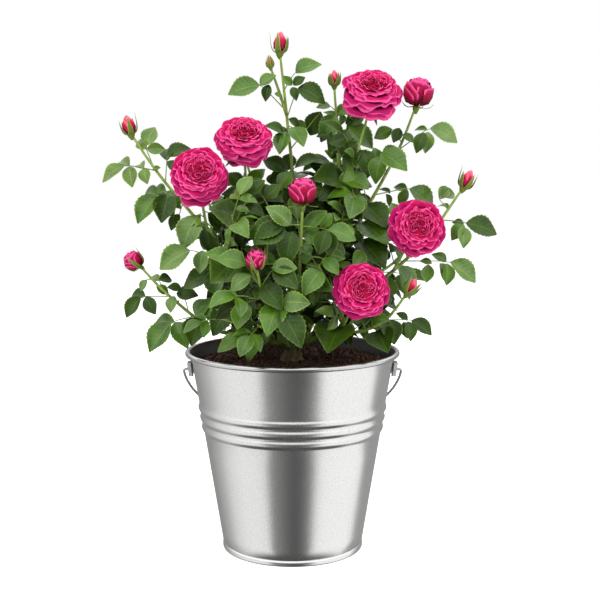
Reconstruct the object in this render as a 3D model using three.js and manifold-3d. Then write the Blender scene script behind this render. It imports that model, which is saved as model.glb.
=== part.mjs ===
// A rose bush in full flower, planted in a ribbed steel bucket with a swinging wire bail.
// Millimetres, +Z up. The origin is the centre of the bucket's flat underside, the bush's
// front looks along -Y, and the bail hangs behind it on the +Y side.
import * as THREE from 'three';
import { mergeVertices } from 'three/addons/utils/BufferGeometryUtils.js';
import Module from 'manifold-3d';

const wasm = await Module();
wasm.setup();

// ---- driving sizes of the bucket ----
const HEIGHT = 221;
const BASE_R = 77.7;
const MOUTH_R = 112.3;
const WALL = 1.2;
const FLOOR = 2.4;
const CHIME_H = 5.6;
const CHIME_OUT = 1.2;
const ROLL_R = 2.8;
const ROLL_MID_R = 115.1;
const BEADS_Z = [136, 147, 158];
const BEAD_W = 9;
const BEAD_OUT = 1.8;
const SOIL_Z = 209;
const CLEAR = 0.3;

// ---- driving sizes of the ears and the bail ----
const PIVOT_Z = 199;
const EAR_H = 15;
const EAR_W = 26;
const EAR_STAND_OFF = 4.6;
const EAR_T = 1.4;
const EAR_HOLE_R = 2.4;
const WIRE_R = 1.5;
const BAIL_HALF_W = 120.4;
const BAIL_DEPTH = 130;
const BAIL_REST_DEG = 41.5;

// ---- driving sizes of the plant ----
const TRUNK_TOP = SOIL_Z + 27;
const BOUGH_R = 3.3;
const FORK_R = 2.5;
const SHOOT_R = 1.9;
const PEDUNCLE_R = 1.3;
const RACHIS_R = 0.95;
const CROWN_R = 232;
const CROWN_MIDDLE_Z = 320;
const CROWN_REACH = 152;
const CROWN_RISE = 190;
const FRONT_DEPTH = 30;
const LEAFLET_W = 0.68;
const LEAFLET_T = 1.1;
const LEAF_LENGTH = [66, 82];
const NODE_GAP = 50;
const TWIG_PLACES = [0.16, 0.5];
const BARE_END = 46;
const TWIG_LENGTH = [58, 84];
const CELL = 4;

// Each mass of foliage is one cane from its fork outwards. A shoot gives the points that it
// passes, the flower at its end (kind, diameter, centre and the way it looks), and the tips of
// the compound leaves that stand out of the crown, each with its place along the shoot.
const MASSES = [
  { name: 'left_high', fork: [-40, -8, 272], shoots: [
    { via: [[-83, -18, 340], [-146, -3, 415]], flower: ['bud', 16, [-176, 0, 464], [-0.25, 0, 0.97]],
      leaves: [[0.8, -209, -5, 407], [0.84, -148, 8, 462], [0.62, -102, 22, 441],
        [0.6, -166, -22, 362], [0.5, -138, -34, 358]] },
    { from: 0.3, via: [[-86, -42, 345]], flower: ['open', 62, [-98, -60, 410], [0.12, -0.86, 0.5]],
      leaves: [[0.3, -86, -84, 338], [0.45, -118, -66, 342]] }] },
  { name: 'left_low', fork: [-46, -14, 238], shoots: [
    { via: [[-83, -27, 246], [-136, -32, 288]], flower: ['bud', 20, [-169, -30, 321], [-0.75, -0.1, 0.65]],
      leaves: [[0.64, -178, -38, 260], [0.76, -120, -12, 306], [0.5, -100, -50, 288],
        [0.4, -152, -56, 231], [0.2, -104, -72, 236], [0.88, -150, -60, 300]] }] },
  { name: 'left_centre', fork: [-20, -12, 288], shoots: [
    { via: [[-44, -20, 355]], flower: ['open', 63, [-52, -25, 446], [0.03, -0.66, 0.75]],
      leaves: [[0.6, -15, -26, 424], [0.5, -78, 2, 418], [0.35, -70, -62, 384]] },
    { from: 0.12, via: [[-62, -48, 320]], tip: [-88, -66, 330],
      leaves: [[0.95, -128, -70, 304], [0.6, -74, -104, 316]] }] },
  { name: 'centre_high', fork: [-3, 4, 300], shoots: [
    { via: [[0, 5, 408], [-5, 8, 465]], flower: ['bud', 17, [-13, 10, 552], [0.05, 0, 1]],
      leaves: [[0.72, -69, 0, 500], [0.8, 29, 6, 536], [0.74, 36, -8, 492],
        [0.56, -32, -14, 462], [0.5, 22, 24, 452], [0.42, -36, 8, 432]] },
    { from: 0.72, via: [[-14, 8, 500]], flower: ['bud', 9, [-24, 5, 531], [-0.15, 0, 1]], leaves: [] }] },
  { name: 'right_centre', fork: [18, 8, 292], shoots: [
    { via: [[50, 22, 400]], flower: ['bud', 13, [46, 30, 516], [0, 0, 1]],
      leaves: [[0.74, 22, 20, 486], [0.64, 30, 6, 436], [0.7, 78, 44, 472], [0.55, 66, 40, 430]] },
    { from: 0.25, via: [[58, 0, 397]], flower: ['open', 65, [85, -10, 497], [0.05, -0.52, 0.85]],
      leaves: [[0.62, 36, -24, 398], [0.7, 74, -34, 404], [0.45, 62, -52, 372]] }] },
  { name: 'right_high', fork: [34, 6, 282], shoots: [
    { via: [[67, 2, 350], [115, 8, 438]], flower: ['half', 29, [136, 10, 500], [0.12, -0.05, 1]],
      leaves: [[0.74, 181, 5, 450], [0.68, 148, -26, 426], [0.78, 92, 4, 456], [0.6, 120, 22, 402]] }] },
  { name: 'right_mid', fork: [46, -8, 262], shoots: [
    { via: [[100, -6, 300], [144, -4, 341]], flower: ['bud', 16, [189, 0, 406], [0.42, 0, 0.9]],
      leaves: [[0.5, 110, 12, 384], [0.6, 160, 18, 398], [0.62, 224, -5, 353], [0.5, 198, -25, 300],
        [0.75, 186, -34, 338]] },
    { from: 0.4, via: [[112, -30, 318]], flower: ['open', 63, [131, -45, 357], [0.14, -0.9, 0.36]],
      leaves: [[0.2, 148, -58, 300]] }] },
  { name: 'right_low', fork: [40, -30, 245], shoots: [
    { via: [[70, -42, 246], [98, -50, 260]], flower: ['bud', 14, [124, -60, 296], [0.5, -0.1, 0.85]],
      leaves: [[0.6, 150, -55, 248], [0.72, 122, -92, 246], [0.4, 92, -100, 240]] },
    { from: 0.15, via: [[54, -66, 258]], flower: ['open', 58, [71, -95, 297], [0, -0.93, 0.36]],
      leaves: [[0.3, 36, -122, 244]] }] },
  { name: 'front', fork: [3, -40, 262], shoots: [
    { via: [[6, -68, 292], [9, -88, 340]], flower: ['half', 25, [11, -100, 396], [0, -0.1, 1]],
      leaves: [[0.5, -24, -110, 340], [0.55, 50, -94, 350], [0.4, 28, -126, 318]] },
    { from: 0.2, via: [[-24, -86, 282]], flower: ['bud', 18, [-35, -125, 330], [0, -0.25, 0.97]],
      leaves: [[0.5, 2, -136, 282], [0.45, -66, -118, 290]] }] },
  { name: 'front_low', fork: [-14, -42, 240], shoots: [
    { via: [[-24, -72, 252]], tip: [-34, -104, 262],
      leaves: [[0.95, -50, -146, 244], [0.8, 10, -142, 246]] },
    { from: 0.2, via: [[-44, -62, 254]], tip: [-74, -78, 266],
      leaves: [[0.95, -112, -96, 258], [0.7, -92, -112, 240]] }] },
  { name: 'back_left', fork: [-30, 30, 255], shoots: [
    { via: [[-62, 58, 318], [-88, 66, 362]], flower: ['open', 57, [-110, 70, 408], [-0.35, 0.78, 0.52]],
      leaves: [[0.6, -120, 66, 334], [0.45, -112, 34, 300], [0.7, -50, 92, 372], [0.35, -118, 96, 290]] },
    { from: 0.12, via: [[-42, 76, 262]], flower: ['open', 59, [-52, 122, 268], [-0.25, 0.9, 0.36]],
      leaves: [[0.3, -106, 90, 248], [0.3, -108, 56, 252]] }] },
  { name: 'back_centre', fork: [4, 38, 268], shoots: [
    { via: [[-20, 62, 338], [-44, 78, 396]], flower: ['open', 57, [-58, 90, 450], [-0.05, 0.72, 0.7]],
      leaves: [[0.66, 4, 92, 424], [0.5, 24, 84, 374], [0.4, -64, 114, 344], [0.75, -96, 108, 404]] },
    { from: 0.12, via: [[10, 78, 282]], flower: ['open', 60, [14, 126, 308], [0, 0.9, 0.42]],
      leaves: [[0.3, 56, 108, 276]] }] },
  { name: 'back_right', fork: [32, 30, 256], shoots: [
    { via: [[80, 50, 290], [120, 68, 314]], flower: ['open', 57, [143, 80, 348], [0.62, 0.62, 0.48]],
      leaves: [[0.6, 156, 62, 290], [0.5, 104, 20, 340], [0.75, 92, 96, 366], [0.4, 136, 100, 272]] },
    { from: 0.2, via: [[50, 84, 290]], flower: ['half', 27, [62, 138, 336], [0.1, 0.35, 0.93]],
      leaves: [[0.6, 104, 140, 324], [0.5, 90, 142, 280]] }] },
  { name: 'back_low', fork: [-4, 42, 238], shoots: [
    { via: [[-20, 76, 246]], tip: [-42, 108, 256],
      leaves: [[0.95, -84, 140, 236], [0.8, 4, 152, 246]] },
    { from: 0.2, via: [[30, 70, 248]], tip: [66, 84, 258],
      leaves: [[0.95, 108, 104, 246], [0.8, 60, 134, 246]] }] },
];

const PINK = 0xd8146e;
const GREEN = 0x3f6f2a;
const steel = new THREE.MeshStandardMaterial({ color: 0xb9bab8, roughness: 0.34, metalness: 1 });
const wireSteel = new THREE.MeshStandardMaterial({ color: 0x9c9d9a, roughness: 0.3, metalness: 1 });
const soilMaterial = new THREE.MeshStandardMaterial({ color: 0x2b1a12, roughness: 1 });
const bark = new THREE.MeshStandardMaterial({ color: 0x6a6a3a, roughness: 0.8 });
const caneBark = new THREE.MeshStandardMaterial({ color: 0x6b8a35, roughness: 0.6 });
const foliage = new THREE.MeshStandardMaterial({ color: GREEN, roughness: 0.5 });
const blossom = new THREE.MeshStandardMaterial({ color: PINK, roughness: 0.6 });

const vec = (p) => new THREE.Vector3(...p);
const UP = new THREE.Vector3(0, 0, 1);
const rad = THREE.MathUtils.degToRad;
const lerp = THREE.MathUtils.lerp;

// A repeatable number from 0 to 1 for each set of keys, so that one leaf never shifts another.
function chance(...keys) {
  const weights = [12.9898, 78.233, 37.719, 94.673];
  const mixed = keys.reduce((sum, key, i) => sum + (key + 1) * weights[i], 0);
  const big = Math.abs(Math.sin(mixed)) * 43758.5453;
  return big - Math.floor(big);
}

// ---- solids ----
function solidOf(geometry) {
  const bare = geometry.clone();
  bare.deleteAttribute('normal');
  bare.deleteAttribute('uv');
  const merged = mergeVertices(bare, 1e-4);
  return new wasm.Manifold(new wasm.Mesh({
    numProp: 3,
    vertProperties: new Float32Array(merged.attributes.position.array),
    triVerts: new Uint32Array(merged.index.array),
  }));
}

// Joins solids into one body: loose scraps are dropped and sealed hollows are filled.
function fuse(solids) {
  const joined = wasm.Manifold.union(solids);
  const bodies = joined.decompose();
  return largest(bodies).asOriginal().simplify(0.08);
}

function largest(bodies) {
  return bodies.reduce((most, next) => (next.volume() > most.volume() ? next : most));
}

function geometryOf(solid) {
  const mesh = solid.getMesh();
  const positions = new Float32Array(mesh.numVert * 3);
  for (let i = 0; i < mesh.numVert; i++) {
    positions.set(mesh.vertProperties.subarray(i * mesh.numProp, i * mesh.numProp + 3), i * 3);
  }
  const geometry = new THREE.BufferGeometry();
  geometry.setAttribute('position', new THREE.BufferAttribute(positions, 3));
  geometry.setIndex(new THREE.BufferAttribute(new Uint32Array(mesh.triVerts), 1));
  geometry.computeVertexNormals();
  return geometry;
}

// A LatheGeometry turned so that its axis is Z. The profile runs up the outside, axis to axis.
function turned(profile, segments) {
  const points = profile.map(([r, z]) => new THREE.Vector2(r, z));
  return new THREE.LatheGeometry(points, segments).rotateX(Math.PI / 2);
}

// A tapering limb along a curve, closed by a flat cap at each end.
function limb(curve, startR, endR, sides, steps) {
  const frames = curve.computeFrenetFrames(steps);
  const positions = [];
  const index = [];
  for (let i = 0; i <= steps; i++) {
    const centre = curve.getPointAt(i / steps);
    const radius = lerp(startR, endR, i / steps);
    for (let k = 0; k < sides; k++) {
      const angle = (2 * Math.PI * k) / sides;
      const rim = centre.clone()
        .addScaledVector(frames.normals[i], radius * Math.cos(angle))
        .addScaledVector(frames.binormals[i], radius * Math.sin(angle));
      positions.push(...rim.toArray());
    }
  }
  for (let i = 0; i < steps; i++) {
    for (let k = 0; k < sides; k++) {
      const next = (k + 1) % sides;
      const [a, b] = [i * sides + k, i * sides + next];
      index.push(a, b, b + sides, a, b + sides, a + sides);
    }
  }
  const last = steps * sides;
  for (let k = 1; k < sides - 1; k++) {
    index.push(0, k + 1, k, last, last + k, last + k + 1);
  }
  const geometry = new THREE.BufferGeometry();
  geometry.setAttribute('position', new THREE.Float32BufferAttribute(positions, 3));
  geometry.setIndex(index);
  return geometry;
}

// ---- the bucket ----
const wallR = (z) => lerp(BASE_R - CHIME_OUT, MOUTH_R, z / HEIGHT);

function bucketProfile() {
  const outside = [[0, 0], [BASE_R, 0], [BASE_R + 0.2, CHIME_H / 2], [BASE_R, CHIME_H], [wallR(CHIME_H), CHIME_H + 0.8]];
  const beadStations = [-0.5, -0.25, 0, 0.25, 0.5];
  for (const z of BEADS_Z) {
    for (const s of beadStations) {
      outside.push([wallR(z) + BEAD_OUT * Math.cos(Math.PI * s), z + s * BEAD_W]);
    }
  }
  const rollZ = HEIGHT - ROLL_R;
  const roll = [];
  const rollSteps = 6;
  for (let i = 0; i <= rollSteps; i++) {
    const angle = rad(lerp(-145, 155, i / rollSteps));
    roll.push([ROLL_MID_R + ROLL_R * Math.cos(angle), rollZ + ROLL_R * Math.sin(angle)]);
  }
  const inside = [
    [wallR(rollZ) - WALL, rollZ - 2.5],
    [wallR(FLOOR) - WALL, FLOOR],
    [0, FLOOR],
  ];
  return [...outside, [wallR(rollZ - 2), rollZ - 2], ...roll, ...inside];
}

function bucketGeometry() {
  return turned(bucketProfile(), 34);
}

// Compost fills the bucket to just under the roll, with a gently uneven top.
function soilGeometry() {
  const innerR = (z) => wallR(z) - WALL - CLEAR - 0.4;
  const profile = [[0, FLOOR + CLEAR], [innerR(FLOOR) - 0.3, FLOOR + CLEAR], [innerR(SOIL_Z - 2), SOIL_Z - 3],
    [innerR(SOIL_Z) * 0.8, SOIL_Z - 1.4], [innerR(SOIL_Z) * 0.5, SOIL_Z - 0.6], [18, SOIL_Z], [0, SOIL_Z]];
  const geometry = turned(profile, 24);
  const p = geometry.attributes.position;
  for (let i = 0; i < p.count; i++) {
    const r = Math.hypot(p.getX(i), p.getY(i));
    if (p.getZ(i) > SOIL_Z - 2 && r > 19) {
      const around = Math.atan2(p.getY(i), p.getX(i));
      p.setZ(i, p.getZ(i) + 0.9 * Math.sin(5 * around + r * 0.11) * Math.cos(3 * around - 0.4));
    }
  }
  return geometry;
}

// ---- the ears: pressed steel hats riveted to the wall, holed for the bail ----
function earGeometry(side) {
  const half = EAR_W / 2;
  const crown = 6.2;
  const foot = 8.2;
  const outline = [[-half, 0], [-foot, 0], [-crown, EAR_STAND_OFF], [crown, EAR_STAND_OFF], [foot, 0], [half, 0],
    [half, EAR_T], [foot + 0.8, EAR_T], [crown + 0.8, EAR_STAND_OFF + EAR_T],
    [-crown - 0.8, EAR_STAND_OFF + EAR_T], [-foot - 0.8, EAR_T], [-half, EAR_T]];
  const shape = new THREE.Shape(outline.map(([y, out]) => new THREE.Vector2(y, out)));
  const strap = new THREE.ExtrudeGeometry(shape, { depth: EAR_H, bevelEnabled: false });
  strap.translate(0, 0, -EAR_H / 2);
  const hole = new THREE.CylinderGeometry(EAR_HOLE_R, EAR_HOLE_R, 12, 10).translate(0, EAR_STAND_OFF, 0);
  const parts = [solidOf(strap).subtract(solidOf(hole))];
  for (const y of [-1, 1]) {
    const dome = turned([[0, -0.8], [2.1, -0.8], [2.1, 0.3], [1.3, 1.2], [0, 1.5]], 8);
    dome.rotateX(-Math.PI / 2).translate(y * (foot + half + 0.8) / 2, EAR_T, 0);
    parts.push(solidOf(dome));
  }
  // Stand it on the wall: the shape's y turns outwards, and its x runs round the bucket.
  const lean = Math.atan2(wallR(HEIGHT) - wallR(0), HEIGHT);
  const earX = wallR(PIVOT_Z) + CLEAR + 0.35;
  const drop = (EAR_STAND_OFF + EAR_T / 2) * Math.sin(lean);
  const geometry = geometryOf(fuse(parts));
  geometry.rotateZ(-Math.PI / 2).rotateY(lean).translate(earX, 0, PIVOT_Z + drop);
  return side > 0 ? geometry : geometry.rotateZ(Math.PI);
}

// ---- the bail: one wire, hooked in through both ears ----
// A smooth curve that is walked from knot to knot, so that its tight bends keep their steps.
class KnottedCurve extends THREE.CatmullRomCurve3 {
  getPointAt(u, target) { return this.getPoint(u, target); }

  getTangentAt(u, target) { return this.getTangent(u, target); }
}

function bailGeometry() {
  const fall = rad(BAIL_REST_DEG);
  const reach = (x, d) => new THREE.Vector3(x, d * Math.cos(fall), PIVOT_Z - d * Math.sin(fall));
  const pinEnd = wallR(PIVOT_Z) + 1.9;
  const bow = 18;
  const arc = [];
  for (let i = 0; i <= bow; i++) {
    const angle = lerp(0.036, Math.PI - 0.036, i / bow);
    arc.push(reach(BAIL_HALF_W * Math.cos(angle), BAIL_DEPTH * Math.sin(angle)));
  }
  const hook = (side) => [[pinEnd, 0], [BAIL_HALF_W - 4, 0], [BAIL_HALF_W - 1.1, 1.3]]
    .map(([x, d]) => reach(side * x, d));
  const points = [...hook(1), ...arc, ...hook(-1).reverse()];
  return limb(new KnottedCurve(points, false, 'centripetal'), WIRE_R, WIRE_R, 7, points.length - 1);
}

// ---- the plant's skeleton: trunk, boughs and shoots ----
const TRUNK_PROFILE = [[0, 0], [14, 0], [11.5, 3], [9, 8], [8.6, 13], [10.5, 19], [10.8, 23], [7, 26.4], [0, 27]];

function trunkGeometry(grown = 0) {
  const profile = TRUNK_PROFILE.map(([r, z], i) => {
    const base = i < 2 ? CLEAR - grown : CLEAR + (i > 6 ? grown : 0);
    return [r > 0 ? r + grown : 0, SOIL_Z + base + z];
  });
  const geometry = turned(profile, 12);
  const p = geometry.attributes.position;
  for (let i = 0; i < p.count; i++) {
    const around = Math.atan2(p.getY(i), p.getX(i));
    const knob = 1 + 0.07 * Math.sin(3 * around + 0.5);
    p.setX(i, p.getX(i) * knob);
    p.setY(i, p.getY(i) * knob);
  }
  return geometry;
}

// A bough leaves the bud union low on its own side and bends up to its fork.
function boughCurve(mass) {
  const fork = vec(mass.fork);
  const out = new THREE.Vector3(fork.x, fork.y, 0);
  const away = out.length();
  out.normalize();
  const rootZ = lerp(TRUNK_TOP - 6, TRUNK_TOP - 12, Math.min(1, away / 50));
  const root = out.clone().multiplyScalar(Math.min(5, away * 0.4)).setZ(rootZ);
  const knee = out.clone().multiplyScalar(away * 0.5).setZ(lerp(rootZ, fork.z, 0.38));
  const neck = fork.clone().addScaledVector(firstRun(mass), -9);
  const end = fork.clone().addScaledVector(firstRun(mass), -CLEAR);
  return new THREE.CatmullRomCurve3([root, knee, neck, end]);
}

// The way in which a mass's stem sets off from its fork.
function firstRun(mass) {
  return vec(mass.shoots[0].via[0]).sub(vec(mass.fork)).normalize();
}

const STALK = { open: 0.27, half: 0.46, bud: 0.52 };

function shootEnd(shoot) {
  if (!shoot.flower) return vec(shoot.tip);
  const [kind, size, centre, look] = shoot.flower;
  return vec(centre).addScaledVector(vec(look).normalize(), -STALK[kind] * size);
}

function shootCurves(mass) {
  const curves = [];
  for (const shoot of mass.shoots) {
    const fork = vec(mass.fork);
    const start = curves.length ? [curves[0].getPointAt(shoot.from)]
      : [fork, fork.clone().addScaledVector(firstRun(mass), 10)];
    curves.push(new THREE.CatmullRomCurve3([...start, ...shoot.via.map(vec), shootEnd(shoot)]));
  }
  return curves;
}

// ---- cells of space: a mass may not enter a cell that a limb, a flower or another mass took ----
const OPEN_TO_NONE = -1;
const LEAF = -2;
const taken = new Map();
const cellOf = (x, y, z) => `${Math.floor(x / CELL)},${Math.floor(y / CELL)},${Math.floor(z / CELL)}`;

function take(point, owner) {
  for (const dx of [-CELL, 0, CELL]) {
    for (const dy of [-CELL, 0, CELL]) {
      for (const dz of [-CELL, 0, CELL]) {
        const key = cellOf(point.x + dx, point.y + dy, point.z + dz);
        if (!taken.has(key)) taken.set(key, owner);
      }
    }
  }
}

function isFree(point, owner) {
  const r = Math.hypot(point.x, point.y);
  if (r > CROWN_R) return false;
  if (r > ROLL_MID_R - 12 && point.z < HEIGHT + 7) return false;
  if (point.z < SOIL_Z + 7) return false;
  const holder = taken.get(cellOf(point.x, point.y, point.z));
  return holder === undefined || holder === owner;
}

// Leaves that follow the rule stay within the dense heart of the crown.
function isInHeart(point) {
  const across = Math.hypot(point.x, point.y) / CROWN_REACH;
  return Math.hypot(across, (point.z - CROWN_MIDDLE_Z) / CROWN_RISE) < 1;
}

function takeLimb(curve, owner) {
  const steps = Math.ceil(curve.getLength() / 3);
  for (let i = 0; i <= steps; i++) take(curve.getPointAt(i / steps), owner);
}

// A flower keeps its own ball, and the open air that it looks into, clear of leaves.
function takeFlower([kind, size, centre, look]) {
  const reach = { open: 1.5, half: 0.7, bud: 0.6 }[kind] * size;
  const aim = vec(look).normalize();
  for (let d = -0.3 * size; d <= reach; d += 6) {
    const middle = vec(centre).addScaledVector(aim, d);
    const spread = size * (d > 0.25 * size ? 0.28 : 0.43);
    for (let x = -spread; x <= spread; x += 6) {
      for (let y = -spread; y <= spread; y += 6) {
        for (let z = -spread; z <= spread; z += 6) {
          if (Math.hypot(x, y, z) <= spread) take(new THREE.Vector3(x, y, z).add(middle), OPEN_TO_NONE);
        }
      }
    }
  }
}

// ---- leaves ----
// A compound leaf: a stalk from base, a leaflet at its end and pairs of leaflets along it.
function planLeaf(base, tip, pairs, keys) {
  const along = tip.clone().sub(base);
  const length = along.length();
  along.normalize();
  const out = new THREE.Vector3(tip.x, tip.y, 0).normalize();
  const face = UP.clone().multiplyScalar(0.6).addScaledVector(out, 0.45);
  face.y += tip.y > FRONT_DEPTH ? 0.55 : -0.55;
  face.x += 0.5 * (chance(...keys, 1) - 0.5);
  face.y += 0.5 * (chance(...keys, 2) - 0.5);
  face.addScaledVector(along, -face.dot(along)).normalize();
  const side = along.clone().cross(face);
  const end = base.clone().addScaledVector(along, 0.5 * length).addScaledVector(face, 0.07 * length);
  const leaflets = [{ root: end, tip, face, sunk: 0.7 }];
  const stations = [[0.42, 68, 0.4], [0.2, 76, 0.31]].slice(0, pairs);
  stations.forEach(([place, angle, share], row) => {
    for (const hand of [-1, 1]) {
      const swing = rad(angle + 8 * (chance(...keys, 5 + row * 2 + hand) - 0.5));
      const root = base.clone().lerp(end, place * 2);
      const way = along.clone().multiplyScalar(Math.cos(swing))
        .addScaledVector(side, hand * Math.sin(swing)).addScaledVector(face, -0.16).normalize();
      const leafletFace = face.clone().addScaledVector(side, hand * 0.25);
      leafletFace.addScaledVector(way, -leafletFace.dot(way)).normalize();
      const leafletTip = root.clone().addScaledVector(way, share * length);
      leaflets.push({ root, tip: leafletTip, face: leafletFace, sunk: 0.35 });
    }
  });
  return { base, end, leaflets };
}

function leafletCorners({ root, tip, face }) {
  const along = tip.clone().sub(root);
  const length = along.length();
  const side = along.clone().normalize().cross(face);
  const middle = root.clone().addScaledVector(along, 0.46);
  const lift = 0.05 * length;
  const halfW = (LEAFLET_W * length) / 2;
  const left = middle.clone().addScaledVector(side, -halfW).addScaledVector(face, lift);
  const right = middle.clone().addScaledVector(side, halfW).addScaledVector(face, lift);
  return { root, tip, middle, left, right };
}

function spotsOf(leaflet) {
  const { root, tip, middle, left, right } = leafletCorners(leaflet);
  const spots = [middle, tip, left, right];
  const between = [[middle, left], [middle, right], [middle, tip], [left, tip], [right, tip], [left, root], [right, root]];
  for (const [a, b] of between) spots.push(a.clone().lerp(b, 0.34), a.clone().lerp(b, 0.67));
  return spots;
}

// Places a leaf if enough of its leaflets fit, and takes the cells that they fill.
function placeLeaf(plan, owner, fewest) {
  const fitting = plan.leaflets.filter((leaflet) => spotsOf(leaflet).every((spot) => isFree(spot, owner)));
  if (fitting.length < fewest || fitting[0] !== plan.leaflets[0]) return null;
  for (const leaflet of fitting) {
    for (const spot of spotsOf(leaflet)) take(spot, LEAF);
  }
  return { ...plan, leaflets: fitting };
}

function leafletGeometry(leaflet) {
  const { root, tip, middle, left, right } = leafletCorners(leaflet);
  const start = root.clone().addScaledVector(tip.clone().sub(root).normalize(), -leaflet.sunk);
  const thick = start.clone().lerp(middle, 0.7);
  const top = thick.clone().addScaledVector(leaflet.face, LEAFLET_T / 2);
  const under = thick.clone().addScaledVector(leaflet.face, -LEAFLET_T / 2);
  const corners = [start, right, tip, left, top, under];
  const geometry = new THREE.BufferGeometry();
  geometry.setAttribute('position', new THREE.Float32BufferAttribute(corners.flatMap((c) => c.toArray()), 3));
  geometry.setIndex([0, 1, 4, 1, 2, 4, 2, 3, 4, 3, 0, 4, 1, 0, 5, 2, 1, 5, 3, 2, 5, 0, 3, 5]);
  return geometry;
}

function leafSolids(leaf) {
  const stalk = limb(new THREE.LineCurve3(leaf.base, leaf.end), RACHIS_R * 1.2, RACHIS_R, 3, 1);
  return [stalk, ...leaf.leaflets.map(leafletGeometry)].map(solidOf);
}

// The tip of a leaf that grows by the rule from a point of a shoot.
function ruledTip(point, heading, turn, length, keys) {
  const flat = Math.abs(heading.z) > 0.9 ? new THREE.Vector3(1, 0, 0) : UP;
  const u = heading.clone().cross(flat).normalize();
  const v = heading.clone().cross(u).normalize();
  const way = u.multiplyScalar(Math.cos(turn)).addScaledVector(v, Math.sin(turn)).multiplyScalar(0.85);
  way.addScaledVector(heading, 0.3).addScaledVector(new THREE.Vector3(point.x, point.y, 0).normalize(), 0.35);
  way.z += 0.1 + 0.2 * (chance(...keys, 3) - 0.5);
  return point.clone().addScaledVector(way.normalize(), length);
}

const GOLDEN = rad(137.5);

// Grows ruled leaves along a stem, turning by the golden angle from node to node.
function growLeaves(curve, owner, stem, gap, firstAt, bareEnd, pairs) {
  const grown = [];
  const length = curve.getLength();
  for (let at = firstAt, node = 0; at < length - bareEnd; at += gap, node++) {
    const point = curve.getPointAt(at / length);
    const heading = curve.getTangentAt(at / length);
    const size = lerp(...LEAF_LENGTH, chance(owner, stem, node));
    for (let go = 0; go < 5; go++) {
      const turn = GOLDEN * (node + stem * 2.3 + owner) + go * 1.3;
      const tip = ruledTip(point, heading, turn, size, [owner, stem, node]);
      const leaf = isInHeart(tip) && placeLeaf(planLeaf(point, tip, pairs, [owner, stem, node]), owner, go < 2 ? 3 : 2);
      if (leaf) {
        grown.push(leaf);
        break;
      }
    }
  }
  return grown;
}

// Leafy side twigs that fill the crown between the flowering shoots.
function growTwigs(curve, owner, stem) {
  const twigs = [];
  for (const [n, share] of TWIG_PLACES.entries()) {
    const point = curve.getPointAt(share);
    const heading = curve.getTangentAt(share);
    const length = lerp(...TWIG_LENGTH, chance(owner, stem, n, 7));
    for (let go = 0; go < 4; go++) {
      const turn = GOLDEN * (n * 2 + owner) + go * 1.6 + stem;
      const tip = ruledTip(point, heading, turn, length, [owner, stem, 20 + n]);
      const middle = point.clone().lerp(tip, 0.5).addScaledVector(UP, 5);
      const twig = new THREE.CatmullRomCurve3([point, middle, tip]);
      const spots = [0.3, 0.45, 0.6, 0.7, 0.8, 0.9, 1].map((u) => twig.getPointAt(u));
      if (isInHeart(tip) && spots.every((spot) => isFree(spot, owner))) {
        takeLimb(twig, owner);
        twigs.push(twig);
        break;
      }
    }
  }
  return twigs;
}

// ---- flowers ----
const FLOWER_PROFILES = {
  // Radius and height along the flower's axis, both as shares of its diameter.
  open: [[0, -0.32], [0.07, -0.29], [0.34, -0.17], [0.5, 0], [0.43, 0.14], [0.26, 0.23], [0, 0.2]],
  half: [[0, -0.52], [0.12, -0.4], [0.4, -0.24], [0.5, 0.08], [0.44, 0.46], [0.28, 0.5], [0, 0.38]],
  bud: [[0, -0.62], [0.22, -0.46], [0.48, -0.12], [0.5, 0.16], [0.28, 0.58], [0, 0.72]],
};
const FLOWER_SEGMENTS = { open: 10, half: 8, bud: 6 };

function flowerSolid([kind, size, centre, look]) {
  const segments = FLOWER_SEGMENTS[kind];
  const geometry = turned(FLOWER_PROFILES[kind].map(([r, h]) => [r * size, h * size]), segments);
  const p = geometry.attributes.position;
  const ruffle = kind === 'bud' ? 0 : 0.045;
  for (let i = 0; i < p.count; i++) {
    const r = Math.hypot(p.getX(i), p.getY(i));
    if (r < size * 0.16) continue;
    const around = Math.atan2(p.getY(i), p.getX(i));
    const wave = 1 + ruffle * Math.cos((segments / 2) * around + p.getZ(i) * 0.9);
    p.setX(i, p.getX(i) * wave);
    p.setY(i, p.getY(i) * wave);
  }
  const turn = new THREE.Quaternion().setFromUnitVectors(UP, vec(look).normalize());
  return solidOf(geometry.applyQuaternion(turn).translate(...centre));
}

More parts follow.
